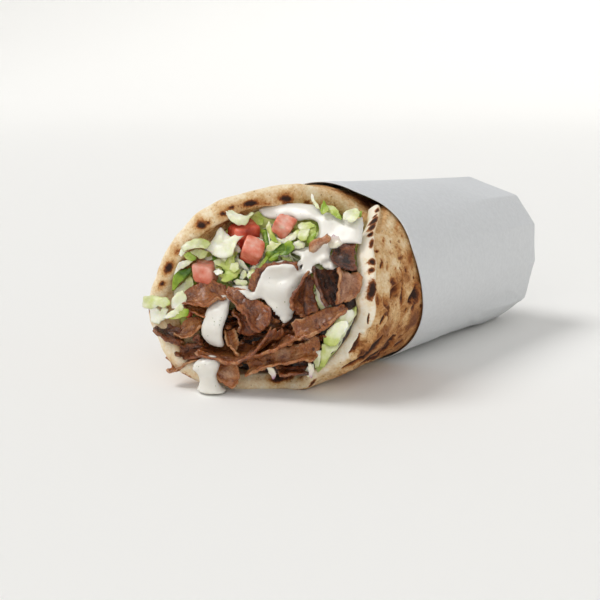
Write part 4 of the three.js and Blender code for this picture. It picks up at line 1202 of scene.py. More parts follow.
# ---- Lettuce ----
# Leaves that stand out: green, from 0, white rib, to 1, dark leaf; mm in front of the mouth's face;
# and the outline as it shows in the main view, in picture points.
LEAVES = {
    "crescent": ((0.04, 0.36), 4, [(225, 206), (228, 211), (232, 210), (238, 213), (247, 216),
        (250, 215), (249, 220), (245, 225), (238, 225), (231, 221), (226, 215)]),
    "crescent_end": ((0.34, 0.66), 3, [(249, 223), (251, 216), (255, 213), (260, 216), (264, 219),
        (262, 225), (255, 224)]),
    "star": ((0.0, 0.2), 5.5, [(219, 225), (226, 232), (230, 236), (237, 232), (243, 231), (243, 234),
        (239, 239), (237, 243), (235, 250), (232, 256), (226, 258), (219, 258), (213, 256), (210, 252),
        (203, 249), (204, 245), (211, 240), (214, 236), (216, 230)]),
    "yellow_heart": ((0.3, 0.56), 6.5, [(229, 246), (236, 244), (237, 251), (236, 257), (231, 258),
        (228, 252)]),
    "dome": ((0.16, 0.48), 4, [(181, 247), (184, 243), (190, 240), (200, 238), (207, 240), (211, 243),
        (207, 249), (202, 248), (195, 248), (188, 250), (183, 252)]),
    "dome_left": ((0, 0.24), 4.5, [(178, 255), (181, 249), (187, 249), (184, 254), (181, 257)]),
    "dome_foot": ((0.46, 0.78), 4.5, [(184, 255), (187, 252), (193, 254), (197, 258), (194, 261),
        (186, 259)]),
    "dome_fold": ((0.22, 0.54), 3, [(190, 252), (196, 249), (204, 250), (208, 252), (205, 257),
        (201, 260), (197, 257)]),
    "fold_right": ((0.36, 0.68), 3, [(201, 260), (206, 252), (211, 252), (214, 259), (209, 262),
        (203, 262)]),
    "big_strip": ((0.34, 0.62), 8, [(213, 260), (218, 258), (228, 258), (233, 262), (238, 262),
        (239, 270), (236, 277), (231, 281), (225, 283), (220, 281), (225, 276), (224, 270), (221, 266),
        (215, 265)]),
    "strip_top": ((0.2, 0.5), 9, [(231, 263), (238, 262), (239, 269), (234, 273), (229, 269)]),
    "grey_chip": ((0, 0.2), 9.5, [(213, 272), (218, 268), (223, 271), (222, 274), (217, 275)]),
    "edge_pale": ((0, 0.28), 4.5, [(175, 270), (178, 264), (182, 261), (190, 260), (193, 261),
        (189, 265), (183, 268), (178, 271), (173, 276)]),
    "edge_dark": ((0.82, 1), 4.5, [(173, 276), (177, 271), (184, 269), (191, 267), (192, 272),
        (186, 277), (180, 283), (175, 290), (172, 291), (172, 284)]),
    "edge_front": ((0.06, 0.38), 6, [(174, 302), (173, 292), (179, 285), (184, 281), (190, 276),
        (193, 278), (194, 288), (188, 293), (180, 297)]),
    "edge_upright": ((0.48, 0.8), 3.5, [(193, 263), (196, 261), (198, 266), (196, 284), (192, 287),
        (191, 276), (193, 268)]),
    "pale_chip_a": ((0.12, 0.4), 5.5, [(240, 275), (243, 270), (246, 271), (247, 276), (243, 279),
        (240, 279)]),
    "pale_chip_b": ((0.16, 0.46), 5.5, [(247, 276), (248, 271), (252, 268), (255, 270), (252, 276),
        (249, 279)]),
    "green_chip": ((0.56, 0.88), 6.5, [(249, 277), (253, 275), (252, 280), (250, 281)]),
    "pale_chip_c": ((0.08, 0.34), 6, [(233, 281), (238, 279), (246, 280), (248, 283), (244, 286),
        (236, 285)]),
    # This leaf is coloured dark as painted shade in the gap it fills.
    "olive_painted_shade": ((0.66, 0.98), 2, [(236, 257), (243, 258), (250, 264), (249, 270), (246, 272),
        (241, 268)]),
    "bright_line": ((0.46, 0.78), 6, [(250, 282), (255, 271), (261, 262), (266, 256), (269, 257),
        (262, 266), (256, 274), (252, 283)]),
    "pointed": ((0.1, 0.42), 4, [(257, 237), (262, 238), (267, 241), (273, 240), (279, 240), (282, 244),
        (277, 249), (270, 253), (264, 253), (261, 246)]),
    "upright": ((0.36, 0.68), 5, [(265, 227), (269, 220), (271, 226), (272, 231), (275, 236),
        (278, 242), (272, 242), (269, 237), (267, 232)]),
    "olive_back": ((0.68, 1), 2.5, [(260, 228), (266, 231), (269, 239), (263, 240)]),
    "dark_shadow": ((0.78, 1), 4, [(270, 247), (278, 243), (285, 242), (288, 247), (283, 251),
        (275, 255), (270, 257), (265, 259), (264, 254)]),
    "bright_curl": ((0.66, 0.98), 6.5, [(284, 243), (289, 241), (293, 242), (294, 247), (291, 252),
        (285, 255), (279, 255), (284, 250)]),
    "pale_wing": ((0.12, 0.44), 5.5, [(283, 243), (285, 238), (290, 233), (296, 229), (300, 228),
        (299, 233), (294, 239), (288, 243)]),
    "dark_low": ((0.72, 1), 6, [(268, 260), (272, 254), (278, 252), (281, 254), (275, 259), (271, 261)]),
    "block_top": ((0.28, 0.6), 6, [(297, 226), (302, 222), (309, 221), (315, 224), (316, 227),
        (310, 229), (305, 231), (300, 231)]),
    "block_front": ((0.2, 0.52), 6.5, [(299, 231), (305, 230), (310, 228), (309, 235), (306, 240),
        (300, 241), (297, 236)]),
    "block_side": ((0.56, 0.88), 5.5, [(309, 229), (316, 225), (316, 233), (313, 241), (309, 245),
        (306, 241), (308, 235)]),
    "block_foot": ((0, 0.26), 4.5, [(293, 241), (300, 240), (304, 243), (303, 247), (296, 248),
        (292, 246)]),
    "lip_tip": ((0, 0.32), 5, [(311, 193), (313, 194), (314, 199), (318, 204), (320, 209), (316, 208),
        (311, 200)]),
    "lip_green": ((0.56, 0.88), 6, [(320, 211), (321, 205), (324, 200), (327, 205), (330, 209),
        (326, 213), (321, 214)]),
    "lip_olive": ((0.38, 0.7), 5, [(327, 206), (333, 205), (338, 210), (341, 216), (342, 220),
        (335, 217), (329, 212)]),
    "lip_pale": ((0.11, 0.43), 6, [(342, 219), (343, 213), (350, 209), (355, 207), (358, 208),
        (360, 215), (356, 221), (350, 222)]),
    "lip_far": ((0.56, 0.88), 5, [(358, 210), (362, 211), (361, 217), (358, 216)]),
}
LOOSE = {
    "lettuce_left": {
        "top": ((0.18, 0.5), 17, [(142, 308), (143, 297), (151, 295), (158, 297), (165, 297),
            (170, 304), (163, 308), (158, 306), (151, 309)]),
        "white": ((0, 0.22), 15, [(150, 309), (156, 307), (160, 312), (165, 306), (168, 310),
            (165, 318), (158, 325), (150, 322), (151, 315)]),
        "pale": ((0.02, 0.34), 16, [(163, 319), (167, 313), (175, 308), (181, 303), (183, 309),
            (178, 314), (170, 318)]),
        "green": ((0.48, 0.8), 15, [(166, 318), (172, 314), (182, 308), (188, 309), (187, 316),
            (180, 318), (172, 320)]),
        "upper": ((0, 0.3), 14, [(171, 309), (172, 299), (176, 293), (183, 290), (186, 298), (184, 304),
            (178, 309)]),
    },
    "lettuce_right": {
        "white": ((0.1, 0.34), 4, [(352, 309), (354, 315), (349, 322), (341, 325), (334, 324),
            (337, 316), (343, 311)]),
        "yellow": ((0.12, 0.5), 7, [(347, 321), (349, 325), (345, 331), (341, 337), (339, 342),
            (334, 347), (328, 346), (322, 344), (322, 337), (327, 330), (333, 324), (340, 321)]),
        "back": ((0.24, 0.54), 4, [(338, 342), (338, 349), (331, 353), (327, 360), (324, 368),
            (319, 366), (320, 354), (322, 343), (330, 345)]),
        "low": ((0.1, 0.4), 3, [(315, 352), (321, 350), (322, 358), (319, 366), (315, 368), (313, 360)]),
        "deep_top": ((0.2, 0.46), -5, [(337, 322), (347, 310), (356, 306), (355, 314), (350, 326),
            (345, 336), (338, 345), (333, 340)]),
        "deep_low": ((0.3, 0.56), -5, [(333, 344), (343, 338), (341, 344), (333, 355), (325, 365),
            (317, 374), (314, 366), (322, 356)]),
        "stem": ((0.0, 0.16), 4, [(308, 366), (313, 364), (314, 372), (311, 378), (306, 377),
            (305, 371)]),
    },
}


# How thick leaves and shreds are, how deep shreds are cupped and ruffled, and the way they face.
LEAF_THICK = 0.3
SHRED_CUP, SHRED_RUFFLE = 0.08, 0.8
SHRED_OUTWARD = np.array([0.25, -1.0, 0.2])


def leaf(outline, seed, crinkle=1.0, thickness=LEAF_THICK, rings=11, around=64):
    """A torn leaf inside an outline of points in mm: its points, faces, and how far along each is, from
    0 at the outline's first point to 1 at the far end."""
    outline = np.asarray(outline, float)
    loop = np.concatenate([outline, outline[:1]])
    along = np.concatenate([[0], np.cumsum(np.linalg.norm(np.diff(loop, axis=0), axis=1))])
    at = np.linspace(0, along[-1], around + 1)[:-1]
    edge = np.stack([np.interp(at, along, loop[:, k]) for k in range(3)], -1)
    edge = (np.roll(edge, 1, 0) + 2 * edge + np.roll(edge, -1, 0)) / 4
    middle = edge.mean(0)
    facing = unit(np.cross(edge - middle, np.roll(edge, -1, 0) - middle).sum(0))
    torn = 0.3 * noise(edge + seed, 1.4, seed) + 0.2 * noise(edge + seed, 0.7, seed + 1)
    edge = edge + unit(edge - middle) * torn[:, None]
    share = np.maximum(np.linspace(0, 1, rings) ** 0.8, 0.02)[:, None, None]
    grid = middle + (edge - middle) * share
    size = np.linalg.norm(edge - middle, axis=1).mean()
    place = grid + seed * 7.0
    ridge = 1 - 2 * np.abs(noise(place, 4.2, seed + 2))
    lift = min(0.6, 0.12 * size) * ridge + 0.1 * noise(place, 1.5, seed + 3)
    lift = lift + 0.16 * size * noise(place, 1.2 * size, seed + 4)
    curl = 0.22 * size * share[..., 0] ** 2 * (0.4 + noise(place, 0.9 * size, seed + 5))
    grid = grid + facing * (crinkle * (lift + curl))[..., None]
    near = np.broadcast_to(share[..., 0], grid.shape[:2])
    half = thickness / 2 * rounded((1 - near) * size, 0.4)[..., None]
    points, faces = disc_sides(grid + facing * half, grid - facing * half)
    lengths = np.linalg.norm(outline - outline[0], axis=1)
    along = (points - outline[0]) @ unit(outline[lengths.argmax()] - outline[0])
    return points, faces, along / lengths.max()


def in_bread(points):
    """Which points are in the bread's wall or past it, and not in front of its lip."""
    angle = angle_of(points[:, 0], points[:, 2])
    behind_lip = points[:, 1] > lip_at((FREE_EDGE - angle) % 360) - 1
    return behind_lip & (wall_reach(points[:, 0], points[:, 2], points[:, 1]) < 1.2)


def clear_of_bread(across, down, out):
    """The points that show at places in the main view, brought out until they are clear of the bread."""
    out = np.full(len(across), float(out))
    for _ in range(20):
        out = out + np.where(in_bread(seen(across, down, out)), 1.0, 0.0)
    # The leaf stays in one piece.
    return seen(across, down, (out + 2 * out.max()) / 3)


def add_leaves(batch, leaves, seed):
    for number, ((rib, tip), out, outline) in enumerate(leaves.values()):
        across, down = np.array(outline, float).T
        points, faces, along = leaf(clear_of_bread(across, down, out), seed + number)
        batch.add(points, faces, green=rib + (tip - rib) * along + 0.14 * noise(points, 3, seed + number))


def ribbon(path, widths, lean, seed, rows=20, columns=9):
    """A shred along a path of points in mm, leaning lean degrees out of the mouth's face."""
    t, s = np.linspace(0, 1, rows), np.linspace(-1, 1, columns)
    from_middle = np.abs(s)[None, :]
    line = line_through(np.column_stack([path, widths]), t)
    centre, width = line[:, :3], line[:, 3]
    tangent = unit(np.gradient(centre, axis=0))
    flat_side = unit(np.cross(tangent, SHRED_OUTWARD))
    angle = np.radians(lean) + 0.35 * noise(np.stack([t * 30, 0 * t, 0 * t], -1), 11, seed)
    across = flat_side * np.cos(angle)[:, None] + np.cross(flat_side, tangent) * np.sin(angle)[:, None]
    rise = np.cross(tangent, across)
    length = np.sum(np.linalg.norm(np.diff(centre, axis=0), axis=1))
    place = np.stack(np.broadcast_arrays(t[:, None] * length, s[None, :] * 5, float(seed) * 9), -1)
    side = np.sign(s)[None, :] + 0 * place[..., 0]
    # Each edge is torn and ruffled on its own.
    by_edge = np.stack([place[..., 0], side * 20, place[..., 2]], -1)
    outline = 1 + 0.32 * noise(by_edge, 3.4, seed) + 0.16 * noise(by_edge, 1.3, seed + 5)
    outline = width[:, None] / 2 * outline
    fold = SHRED_CUP * width[:, None] * from_middle
    fold = fold + SHRED_RUFFLE * from_middle**1.5 * noise(by_edge, 4.2, seed + 1) * 0.8
    crinkle = SHRED_RUFFLE * (0.5 * np.abs(noise(place, 4, seed + 2)) + 0.12 * noise(place, 1.7, seed + 3))
    middle = centre[:, None] + across[:, None] * (s[None, :] * outline)[..., None]
    middle = middle + rise[:, None] * (fold + crinkle)[..., None]
    normal = grid_normals(middle)
    reach = np.minimum(np.minimum(t, 1 - t)[:, None] * length, (1 - from_middle) * width[:, None] / 2)
    half = LEAF_THICK / 2 * rounded(reach, 0.45) * (1 + 0.5 * np.exp(-((s[None, :] * 3) ** 2)))
    points, faces = two_sided(middle + normal * half[..., None], middle - normal * half[..., None])
    from_middle = np.broadcast_to(from_middle, (rows, columns))
    return points, faces, both_sides(from_middle, from_middle)


# Shreds keep this far from the dice's middles, in mm.
CLEAR_OF_TOMATO = 4.4
# No shred hangs over this stretch of meat, as it shows in the main view.
BARE_MEAT = [(172, 300), (178, 288), (203, 281), (228, 283), (245, 287), (262, 300), (262, 335), (172, 335)]


# Where the shreds' middles lie: across, up and out. Each has one of these greens, and how often.
SHRED_SPAN = ((-42, 28), (28, 84), (-5, 1))
GREENS, GREEN_SHARES = (0.05, 0.22, 0.42, 0.62, 0.85), (0.22, 0.28, 0.26, 0.16, 0.08)


def on_tomato(points):
    """Whether any of the points shows over a tomato dice."""
    shown = in_view(points)
    gaps = [np.linalg.norm(shown - in_view(face_point(at)), axis=1).min() * POINT / scale
            for at, _, scale, _ in TOMATOES]
    return min(gaps) < CLEAR_OF_TOMATO


def random_shreds(rng, count, batch, seed):
    """Fills the mouth above the parting with shreds of all greens."""
    across, upward, outward = SHRED_SPAN
    made = 0
    while made < count:
        x, z = rng.uniform(*across), rng.uniform(*upward)
        if not above_parting(x, z):
            continue
        heading, length = rng.uniform(0, 2 * math.pi), rng.uniform(7, 17)
        step = np.array([math.cos(heading), math.sin(heading)]) * length / 3
        bend = rng.normal(0, 1.6, (4, 2))
        outs = rng.uniform(*outward) + heap_out(x, z) + np.array([-1.5, 0.6, 0.8, -1.2])
        outs = outs + rng.normal(0, 0.8, 4)
        spots = [(x + step[0] * k + bend[k, 0], z + step[1] * k + bend[k, 1], outs[k]) for k in range(4)]
        width = rng.uniform(2.2, 6)
        pale = rng.choice(GREENS, p=GREEN_SHARES)
        widths = width * np.array([0.7, 1, 1, 0.6])
        points, faces, side = ribbon(face_point(spots), widths, rng.uniform(-60, 60), seed + made)
        if wall_reach(points[:, 0], points[:, 2], points[:, 1]).min() < 0.5:
            continue
        if on_tomato(points) or max(outline_depth(points, bare).max() for bare in (BARE_MEAT, POUR)) > 0.8:
            continue
        batch.add(points, faces, green=pale + 0.16 * side)
        made += 1


def wall_reach(x, z, y=None):
    """How far a place, by default at the mouth, is inside the bread, in mm."""
    angle = angle_of(x, z)
    y = mouth_y(x, z) if y is None else y
    edge = on_roll(angle, y, wall_inside(angle, y))
    return np.hypot(edge[..., 0], edge[..., 2] - MIDDLE_UP) - np.hypot(x, z - MIDDLE_UP)


def above_parting(x, z):
    return z > parting(x) + 1 and wall_reach(x, z) > 4 and x < 20


def heap_out(x, z):
    """How much further out the heap stands by the left wall, in mm."""
    return 8 * smooth(17, 5, wall_reach(x, z)) * smooth(-2, -18, x) - 8 * smooth(14, 24, x)


def build_lettuce(finish, count):
    rng = np.random.default_rng(8)
    points, faces = bed_skin(0.0, 1.8, 61, 1)
    values = {"green": 0.5 + 0.35 * layered(points, 5, 4)}
    make_piece("lettuce_core", points, faces, finish, ("lettuce_bed",), values)
    shreds = Batch()
    random_shreds(rng, count, shreds, 200)
    shreds.piece("lettuce_shreds", finish, "lettuce")
    leaves = Batch()
    add_leaves(leaves, LEAVES, 500)
    leaves.piece("lettuce_leaves", finish, "lettuce")


def build_loose_lettuce(finish):
    for number, (node, leaves) in enumerate(LOOSE.items()):
        tuft = Batch()
        add_leaves(tuft, leaves, 600 + 20 * number)
        tuft.piece(f"loose_{node}", finish, "lettuce", (node,))


# ---- Onion ----
# Strips: mm in front of the mouth's face, and the outline as it shows in the main view.
ONIONS = {
    "by_stand": (4, [(315, 287), (319, 286), (325, 296), (329, 306), (323, 306), (318, 298)]),
    "over_ring": (8, [(329, 248), (327, 241), (329, 236), (333, 234), (339, 237), (342, 243), (337, 248)]),
    "low": (10, [(266, 366), (270, 365), (274, 369), (276, 377), (273, 379), (269, 374)]),
    "low_right": (7, [(308, 363), (311, 363), (314, 370), (312, 378), (309, 376)]),
}


def build_onion(finish):
    strips = Batch()
    for number, (out, outline) in enumerate(ONIONS.values()):
        across, down = np.array(outline, float).T
        points, faces, along = leaf(seen(across, down, out), 700 + number, 0.7, 0.8, 8, 48)
        strips.add(points, faces, rim=along)
    strips.piece("onion_strips", finish, "lettuce")


# ---- Diced tomato ----
# Each dice's place [across, up, out], its turn, its size over DICE, and how pale its flesh is.
TOMATOES = [
    ((-1.5, 71, 4), (20, 42, 15), 0.9, 0.5),
    ((-10.5, 60.5, 6), (30, 38, 20), 0.98, 0.45),
    ((-30, 50, 5), (6, 4, 22), 1.0, 0.58),
    ((-19, 66, 3), (15, 12, -20), 1.15, 0.12),
    ((-34.5, 33.5, 6), (20, 30, 10), 0.55, 0.3),
]


# The higher this power, the squarer the dice.
DICE_POWER = 8


def build_tomatoes(finish):
    for number, (at, turn, scale, flesh) in enumerate(TOMATOES):
        block = bmesh.new()
        bmesh.ops.create_cube(block, size=2)
        bmesh.ops.subdivide_edges(block, edges=block.edges[:], cuts=15, use_grid_fill=True)
        p, faces = mesh_parts(block)
        # The knife leaves no two corners alike.
        rng = np.random.default_rng(number + 40)
        corners = rng.uniform(-0.17, 0.17, (2, 2, 2, 3))
        share = np.stack([1 - p, 1 + p], 1) / 2
        shift = np.einsum("na,nb,nc,abcd->nd", share[:, :, 0], share[:, :, 1], share[:, :, 2], corners)
        p = p / (np.sum(np.abs(p) ** DICE_POWER, 1) ** (1 / DICE_POWER))[:, None] + shift
        half = DICE * scale / 2
        p = p * half * (1, 1, 0.92)
        swell = 1 + 0.07 * layered(p, 5, number + 2)[:, None]
        p = p * swell + 0.25 * noise(p, 1.8, number + 9)[:, None] * unit(p)
        points = p @ turned(turn).T + face_point(at)
        # The last term makes each dice paler towards its own top, which mostly faces up: painted light.
        values = {"flesh": flesh + 0.3 * layered(p, 4, number + 30) + 0.12 * unit(p)[:, 2]}
        name, node = f"diced_tomato_{number + 1}", f"tomato_dice_{number + 1}"
        make_piece(name, points, faces, finish, (node,), values)


# ---- White sauce ----
# The pour's outline as it shows in the main view, in picture points.
POUR = [
    (256, 209), (262, 203), (275, 204), (290, 203), (300, 203), (312, 205), (320, 212), (330, 213),
    (341, 219), (350, 221), (356, 219), (361, 217), (362, 228), (361, 236), (359, 245), (352, 244),
    (345, 244), (338, 245), (334, 247), (330, 249), (328, 254), (329, 260), (332, 265), (333, 270),
    (325, 271), (322, 268), (318, 265), (314, 265), (312, 268), (311, 273), (305, 276), (300, 280),
    (297, 286), (294, 292), (292, 300), (292, 306), (293, 311), (290, 316), (292, 318), (287, 322),
    (283, 324), (279, 320), (275, 316), (270, 310), (266, 305), (262, 300), (257, 299), (251, 302),
    (245, 299), (238, 293), (229, 284), (238, 284), (245, 284), (248, 291), (253, 293), (255.5, 284),
    (259, 275.5), (264, 268), (270.5, 262.5), (280.5, 260), (290, 261), (296.5, 265), (299.5, 270.5),
    (301, 266), (298, 257), (288, 254), (292, 251), (296, 248), (303, 247), (311, 246), (314, 243),
    (313, 240), (316, 236), (318, 230), (316, 223), (309, 220), (302, 221), (297, 222), (294, 219),
    (289, 217), (283, 218), (276, 220), (268, 220), (261, 217),
]
POUR_THICK = 2.4
# How fast hanging sauce draws in, in mm for each mm down, and the shaded hollow under the arched
# slice: its middle and half sizes in picture points, and its depth in mm.
HANG = 0.35
ARCH_BOWL, ARCH_DEEP = (279, 275, 15, 9), 4.0
# Drips that hang clear: how flat, then places [across, up, out] along each with its half width.
DRIPS = {
    "sauce_drip": (0.6, [(-16.3, 42, 7, 4.0), (-16.6, 38, 10, 5.0), (-17.2, 31, 12, 5.5),
        (-17.6, 24.5, 11.3, 5.3), (-18.2, 20.5, 8.6, 4.2)]),
    "sauce_foot": (0.8, [(-21, 15.6, 14.4, 3.8), (-20, 14, 14.8, 6), (-18.8, 12, 15, 6.8),
        (-18.2, 8, 16, 4.0), (-18, 3.8, 16.2, 4.9), (-18, 0.4, 16.2, 8.0)]),
}
UNDER_SAUCE = ("slice_", "packed_", "lettuce_core", "diced_tomato_5")
THROUGH_SAUCE = "slice_peeking_strip"
POUR_STEP = 0.7
POUR_ROUND = 2.2
# Steps to either side over which the sauce bridges gaps.
BRIDGE_REACH = 4
# The flecks of herb: the piece they lie on, how many, and where, across and up.
HERBS = [
    ("white_sauce_pour", 60, (-20, 36), (30, 84)),
    ("white_sauce_drip", 12, (-22, -11), (17, 42)),
    ("white_sauce_foot", 10, (-25, -12), (2, 19)),
]
# Well in front of the mouth, where lines start that look for what is behind them.
IN_FRONT = -90.0


def line_through(points, t):
    """A smooth curve through points, at shares t of its way."""
    x = np.arange(len(points))
    curves = [curve_through(list(zip(x, column))) for column in points.T]
    return np.stack([curve(t * (len(points) - 1)) for curve in curves], -1)


def blurred(grid, times):
    for _ in range(times):
        wide = np.pad(grid, 1, mode="edge")
        grid = (wide[:-2, 1:-1] + wide[2:, 1:-1] + wide[1:-1, :-2] + wide[1:-1, 2:] + 4 * grid) / 8
    return grid


def within(grid, reach, pick):
    """The pick, such as the largest, of all places of a grid that are within reach steps."""
    wide = np.pad(grid, reach, mode="edge")
    rows, columns = grid.shape
    steps = range(2 * reach + 1)
    near = [wide[i : i + rows, j : j + columns] for i in steps for j in steps
            if math.hypot(i - reach, j - reach) <= reach]
    return pick(near, axis=0)


def outline_depth(points, outline):
    """How deep inside an outline in the main view points lie, in mm, and less than 0 outside."""
    shown = in_view(points)
    corners = np.array(outline, float)
    gap, inside = np.full(shown.shape[:-1], 1e6), np.zeros(shown.shape[:-1], bool)
    for (x0, y0), (x1, y1) in zip(corners, np.roll(corners, -1, 0)):
        dx, dy = x1 - x0, y1 - y0
        px, py = shown[..., 0] - x0, shown[..., 1] - y0
        t = np.clip((px * dx + py * dy) / (dx * dx + dy * dy), 0, 1)
        gap = np.minimum(gap, np.hypot(px - t * dx, py - t * dy))
        crosses = (y0 > shown[..., 1]) != (y1 > shown[..., 1])
        inside ^= crosses & (px < dx * py / (dy or 1))
    return np.where(inside, gap, -gap) * POINT


def build_pour(finish, under):
    """Sauce poured over the filling: it lies on what is under it and leaves what stands out bare."""
    x, z = np.meshgrid(np.arange(-24, 42, POUR_STEP), np.arange(26, 88, POUR_STEP), indexing="ij")
    graph = bpy.context.evaluated_depsgraph_get()
    trees = [BVHTree.FromObject(piece, graph) for piece in under]
    start = to_frame(np.stack([x, np.full_like(x, IN_FRONT), z], -1))
    top = mouth_y(x, z)
    for tree in trees:
        for spot in np.ndindex(x.shape):
            hit = tree.ray_cast(start[spot].tolist(), (0, 1, 0))[0]
            if hit is not None:
                top[spot] = min(top[spot], hit.y * MM - OFFSET[1])
    # The sauce bridges gaps narrower than about 6 mm.
    bridged = mouth_y(x, z) - blurred(top, 3)
    closed = within(within(bridged, BRIDGE_REACH, np.max), BRIDGE_REACH, np.min)
    # It hangs down from what stands out, and draws in slowly.
    for row in range(x.shape[1] - 2, -1, -1):
        closed[:, row] = np.maximum(closed[:, row], closed[:, row + 1] - HANG * POUR_STEP)
    shown = in_view(np.stack([x, mouth_y(x, z) - closed, z], -1))
    across, down, half_across, half_down = ARCH_BOWL
    bowl = ((shown[..., 0] - across) / half_across) ** 2 + ((shown[..., 1] - down) / half_down) ** 2
    bed = np.maximum(blurred(closed, 24) - ARCH_DEEP * np.exp(-bowl), blurred(bridged, 2) - 0.5)
    flat = np.stack([x, z, np.zeros_like(x)], -1)
    drift = 0.35 * layered(flat, 3, 71, 2)
    depth = outline_depth(np.stack([x, mouth_y(x, z) - bed - 1.5, z], -1), POUR) + drift
    # Border places move onto the outline.
    slope_x, slope_z = np.gradient(depth, POUR_STEP)
    steep = np.maximum(slope_x**2 + slope_z**2, 0.2)
    outside = depth < 0
    x = np.where(outside, x - np.clip(depth, -1.5, 0) * slope_x / steep, x)
    z = np.where(outside, z - np.clip(depth, -1.5, 0) * slope_z / steep, z)
    flat = np.stack([x, z, np.zeros_like(x)], -1)
    over = POUR_THICK * rounded(np.maximum(depth, 0), POUR_ROUND)
    over = over + 0.8 * layered(flat, 9, 78, 2) * smooth(0, 3, depth)
    front = np.stack([x, mouth_y(x, z) - bed - over, z], -1)
    deep = np.minimum(bed, blurred(bridged, 2)) - 1.2
    back = np.stack([x, mouth_y(x, z) - bed - (deep - bed) * smooth(0, 1.5, depth), z], -1)
    inside = ~outside
    kept = inside[:-1, :-1] | inside[1:, :-1] | inside[:-1, 1:] | inside[1:, 1:]
    index = np.arange(x.size).reshape(x.shape)
    back_index = np.where(outside, index, index + x.size)
    faces = np.concatenate([grid_faces(index)[kept.ravel()], grid_faces(back_index)[kept.ravel()][:, ::-1]])
    used = np.unique(faces)
    points = np.concatenate([front.reshape(-1, 3), back.reshape(-1, 3)])[used]
    faces = np.searchsorted(used, faces)
    made = make_piece("white_sauce_pour", points, faces, finish, ("sauce_pour",))
    made.modifiers.new("soften", "SMOOTH").iterations = 4
    settle(made)


def run_mesh(flat, run, around=48, along=70):
    """A run of sauce along places with half widths, and flat as deep as it is wide."""
    places = line_through(np.array(run, float), np.linspace(0, 1, along))
    centre = face_point(places[:, :3])
    tangent = unit(np.gradient(centre, axis=0))
    outward = np.array([0, -1.0, 0])
    wide = unit(np.cross(tangent, outward))
    t = np.linspace(0, 1, along)
    half = np.maximum(places[:, 3] * rounded(np.minimum(t, 1 - t), 0.06), 0.3)
    a = np.linspace(0, 2 * np.pi, around + 1)[:-1]
    ring = wide[:, None] * (half[:, None] * np.cos(a))[..., None]
    ring = ring + outward * (half[:, None] * flat * np.sin(a))[..., None]
    grid = centre[:, None] + ring
    swell = 1.1 * layered(grid, 7, 83, 2)
    grid = grid + unit(ring) * swell[..., None]
    grid[..., 2] = np.maximum(grid[..., 2], 0.05)
    index = np.arange(along * around).reshape(along, around)
    index = np.concatenate([index, index[:, :1]], 1)
    faces = grid_faces(index).tolist() + [index[0, :-1][::-1].tolist(), index[-1, :-1].tolist()]
    return grid.reshape(-1, 3), faces


def build_drips(finish, voxel):
    for name, (flat, run) in DRIPS.items():
        points, faces = run_mesh(flat, run)
        made = make_piece(f"white_{name}", points, faces, finish, (name,))
        made.modifiers.new("join", "REMESH").voxel_size = voxel
        made.modifiers.new("soften", "SMOOTH").iterations = 8
        settle(made)


def build_herbs(finish):
    """Flecks of herb on the sauce."""
    rng = np.random.default_rng(3)
    graph = bpy.context.evaluated_depsgraph_get()
    flecks = Batch()
    for name, count, across, upward in HERBS:
        tree = BVHTree.FromObject(bpy.data.objects[name], graph)
        for number in range(count):
            start = to_frame((rng.uniform(*across), IN_FRONT, rng.uniform(*upward)))
            hit = tree.ray_cast(start.tolist(), (0, 1, 0))[0]
            size = rng.uniform(0.15, 0.34)
            if hit is None:
                continue
            points, faces = lump(size, number + count, 1)
            flecks.add(points * (1, 0.5, 1) + np.array(hit) * MM - OFFSET, faces)
    flecks.piece("herb_flecks", finish, "sauce")


def settle(made):
    """Applies a piece's modifiers."""
    graph = bpy.context.evaluated_depsgraph_get()
    mesh = bpy.data.meshes.new_from_object(made.evaluated_get(graph))
    made.modifiers.clear()
    made.data = mesh
    mesh.shade_smooth()


# ---- Settings ----
class WrapSettings(bpy.types.PropertyGroup):
    """What can be set before the wrap is built."""

    lettuce_shreds: IntProperty(
        name="Lettuce shreds", description="How many shreds lie on the lettuce", default=170, min=0)
    packed_slices: IntProperty(
        name="Packed slices", description="How many small slices lie behind the others", default=60, min=0)
    meat_crumbs: IntProperty(
        name="Meat crumbs", description="How many crumbs of meat are tried", default=90, min=0)
    sauce_voxel: FloatProperty(
        name="Sauce detail", description="Size of the hanging sauce's faces", default=0.0007, min=0.0003,
        unit="LENGTH", precision=4)
    floor_colour: FloatVectorProperty(
        name="Floor", description="Colour of the table", subtype="COLOR", size=4, default=linear("#f2f1ee"))
    key_strength: FloatProperty(
        name="Key light", description="Strength of the light from above", default=1.5, min=0)
    front_strength: FloatProperty(
        name="Front light", description="Strength of the light from the front", default=1.35, min=0)
    sky_strength: FloatProperty(
        name="Sky", description="Strength of the light from all round", default=0.4, min=0)


def settings(context):
    return context.scene.gyro_wrap


# ---- Operators ----
class WRAP_OT_bread(bpy.types.Operator):
    """Builds the rolled flatbread"""

    bl_idname = "wrap.bread"
    bl_label = "Flatbread"

    def execute(self, context):
        build_bread(bread_material())
        return {"FINISHED"}


class WRAP_OT_paper(bpy.types.Operator):
    """Builds the paper sleeve"""

    bl_idname = "wrap.paper"
    bl_label = "Paper sleeve"

    def execute(self, context):
        build_paper(paper_material())
        return {"FINISHED"}


class WRAP_OT_meat(bpy.types.Operator):
    """Builds the shaved meat and the bed behind it"""

    bl_idname = "wrap.meat"
    bl_label = "Shaved meat"

    def execute(self, context):
        finish, chosen = meat_material(), settings(context)
        build_meat_bed(finish)
        build_slices(finish)
        build_packed(finish, chosen.packed_slices, chosen.meat_crumbs)
        return {"FINISHED"}


class WRAP_OT_lettuce(bpy.types.Operator):
    """Builds the shredded lettuce"""

    bl_idname = "wrap.lettuce"
    bl_label = "Shredded lettuce"

    def execute(self, context):
        finish = lettuce_material()
        build_lettuce(finish, settings(context).lettuce_shreds)
        build_loose_lettuce(finish)
        build_onion(onion_material())
        return {"FINISHED"}


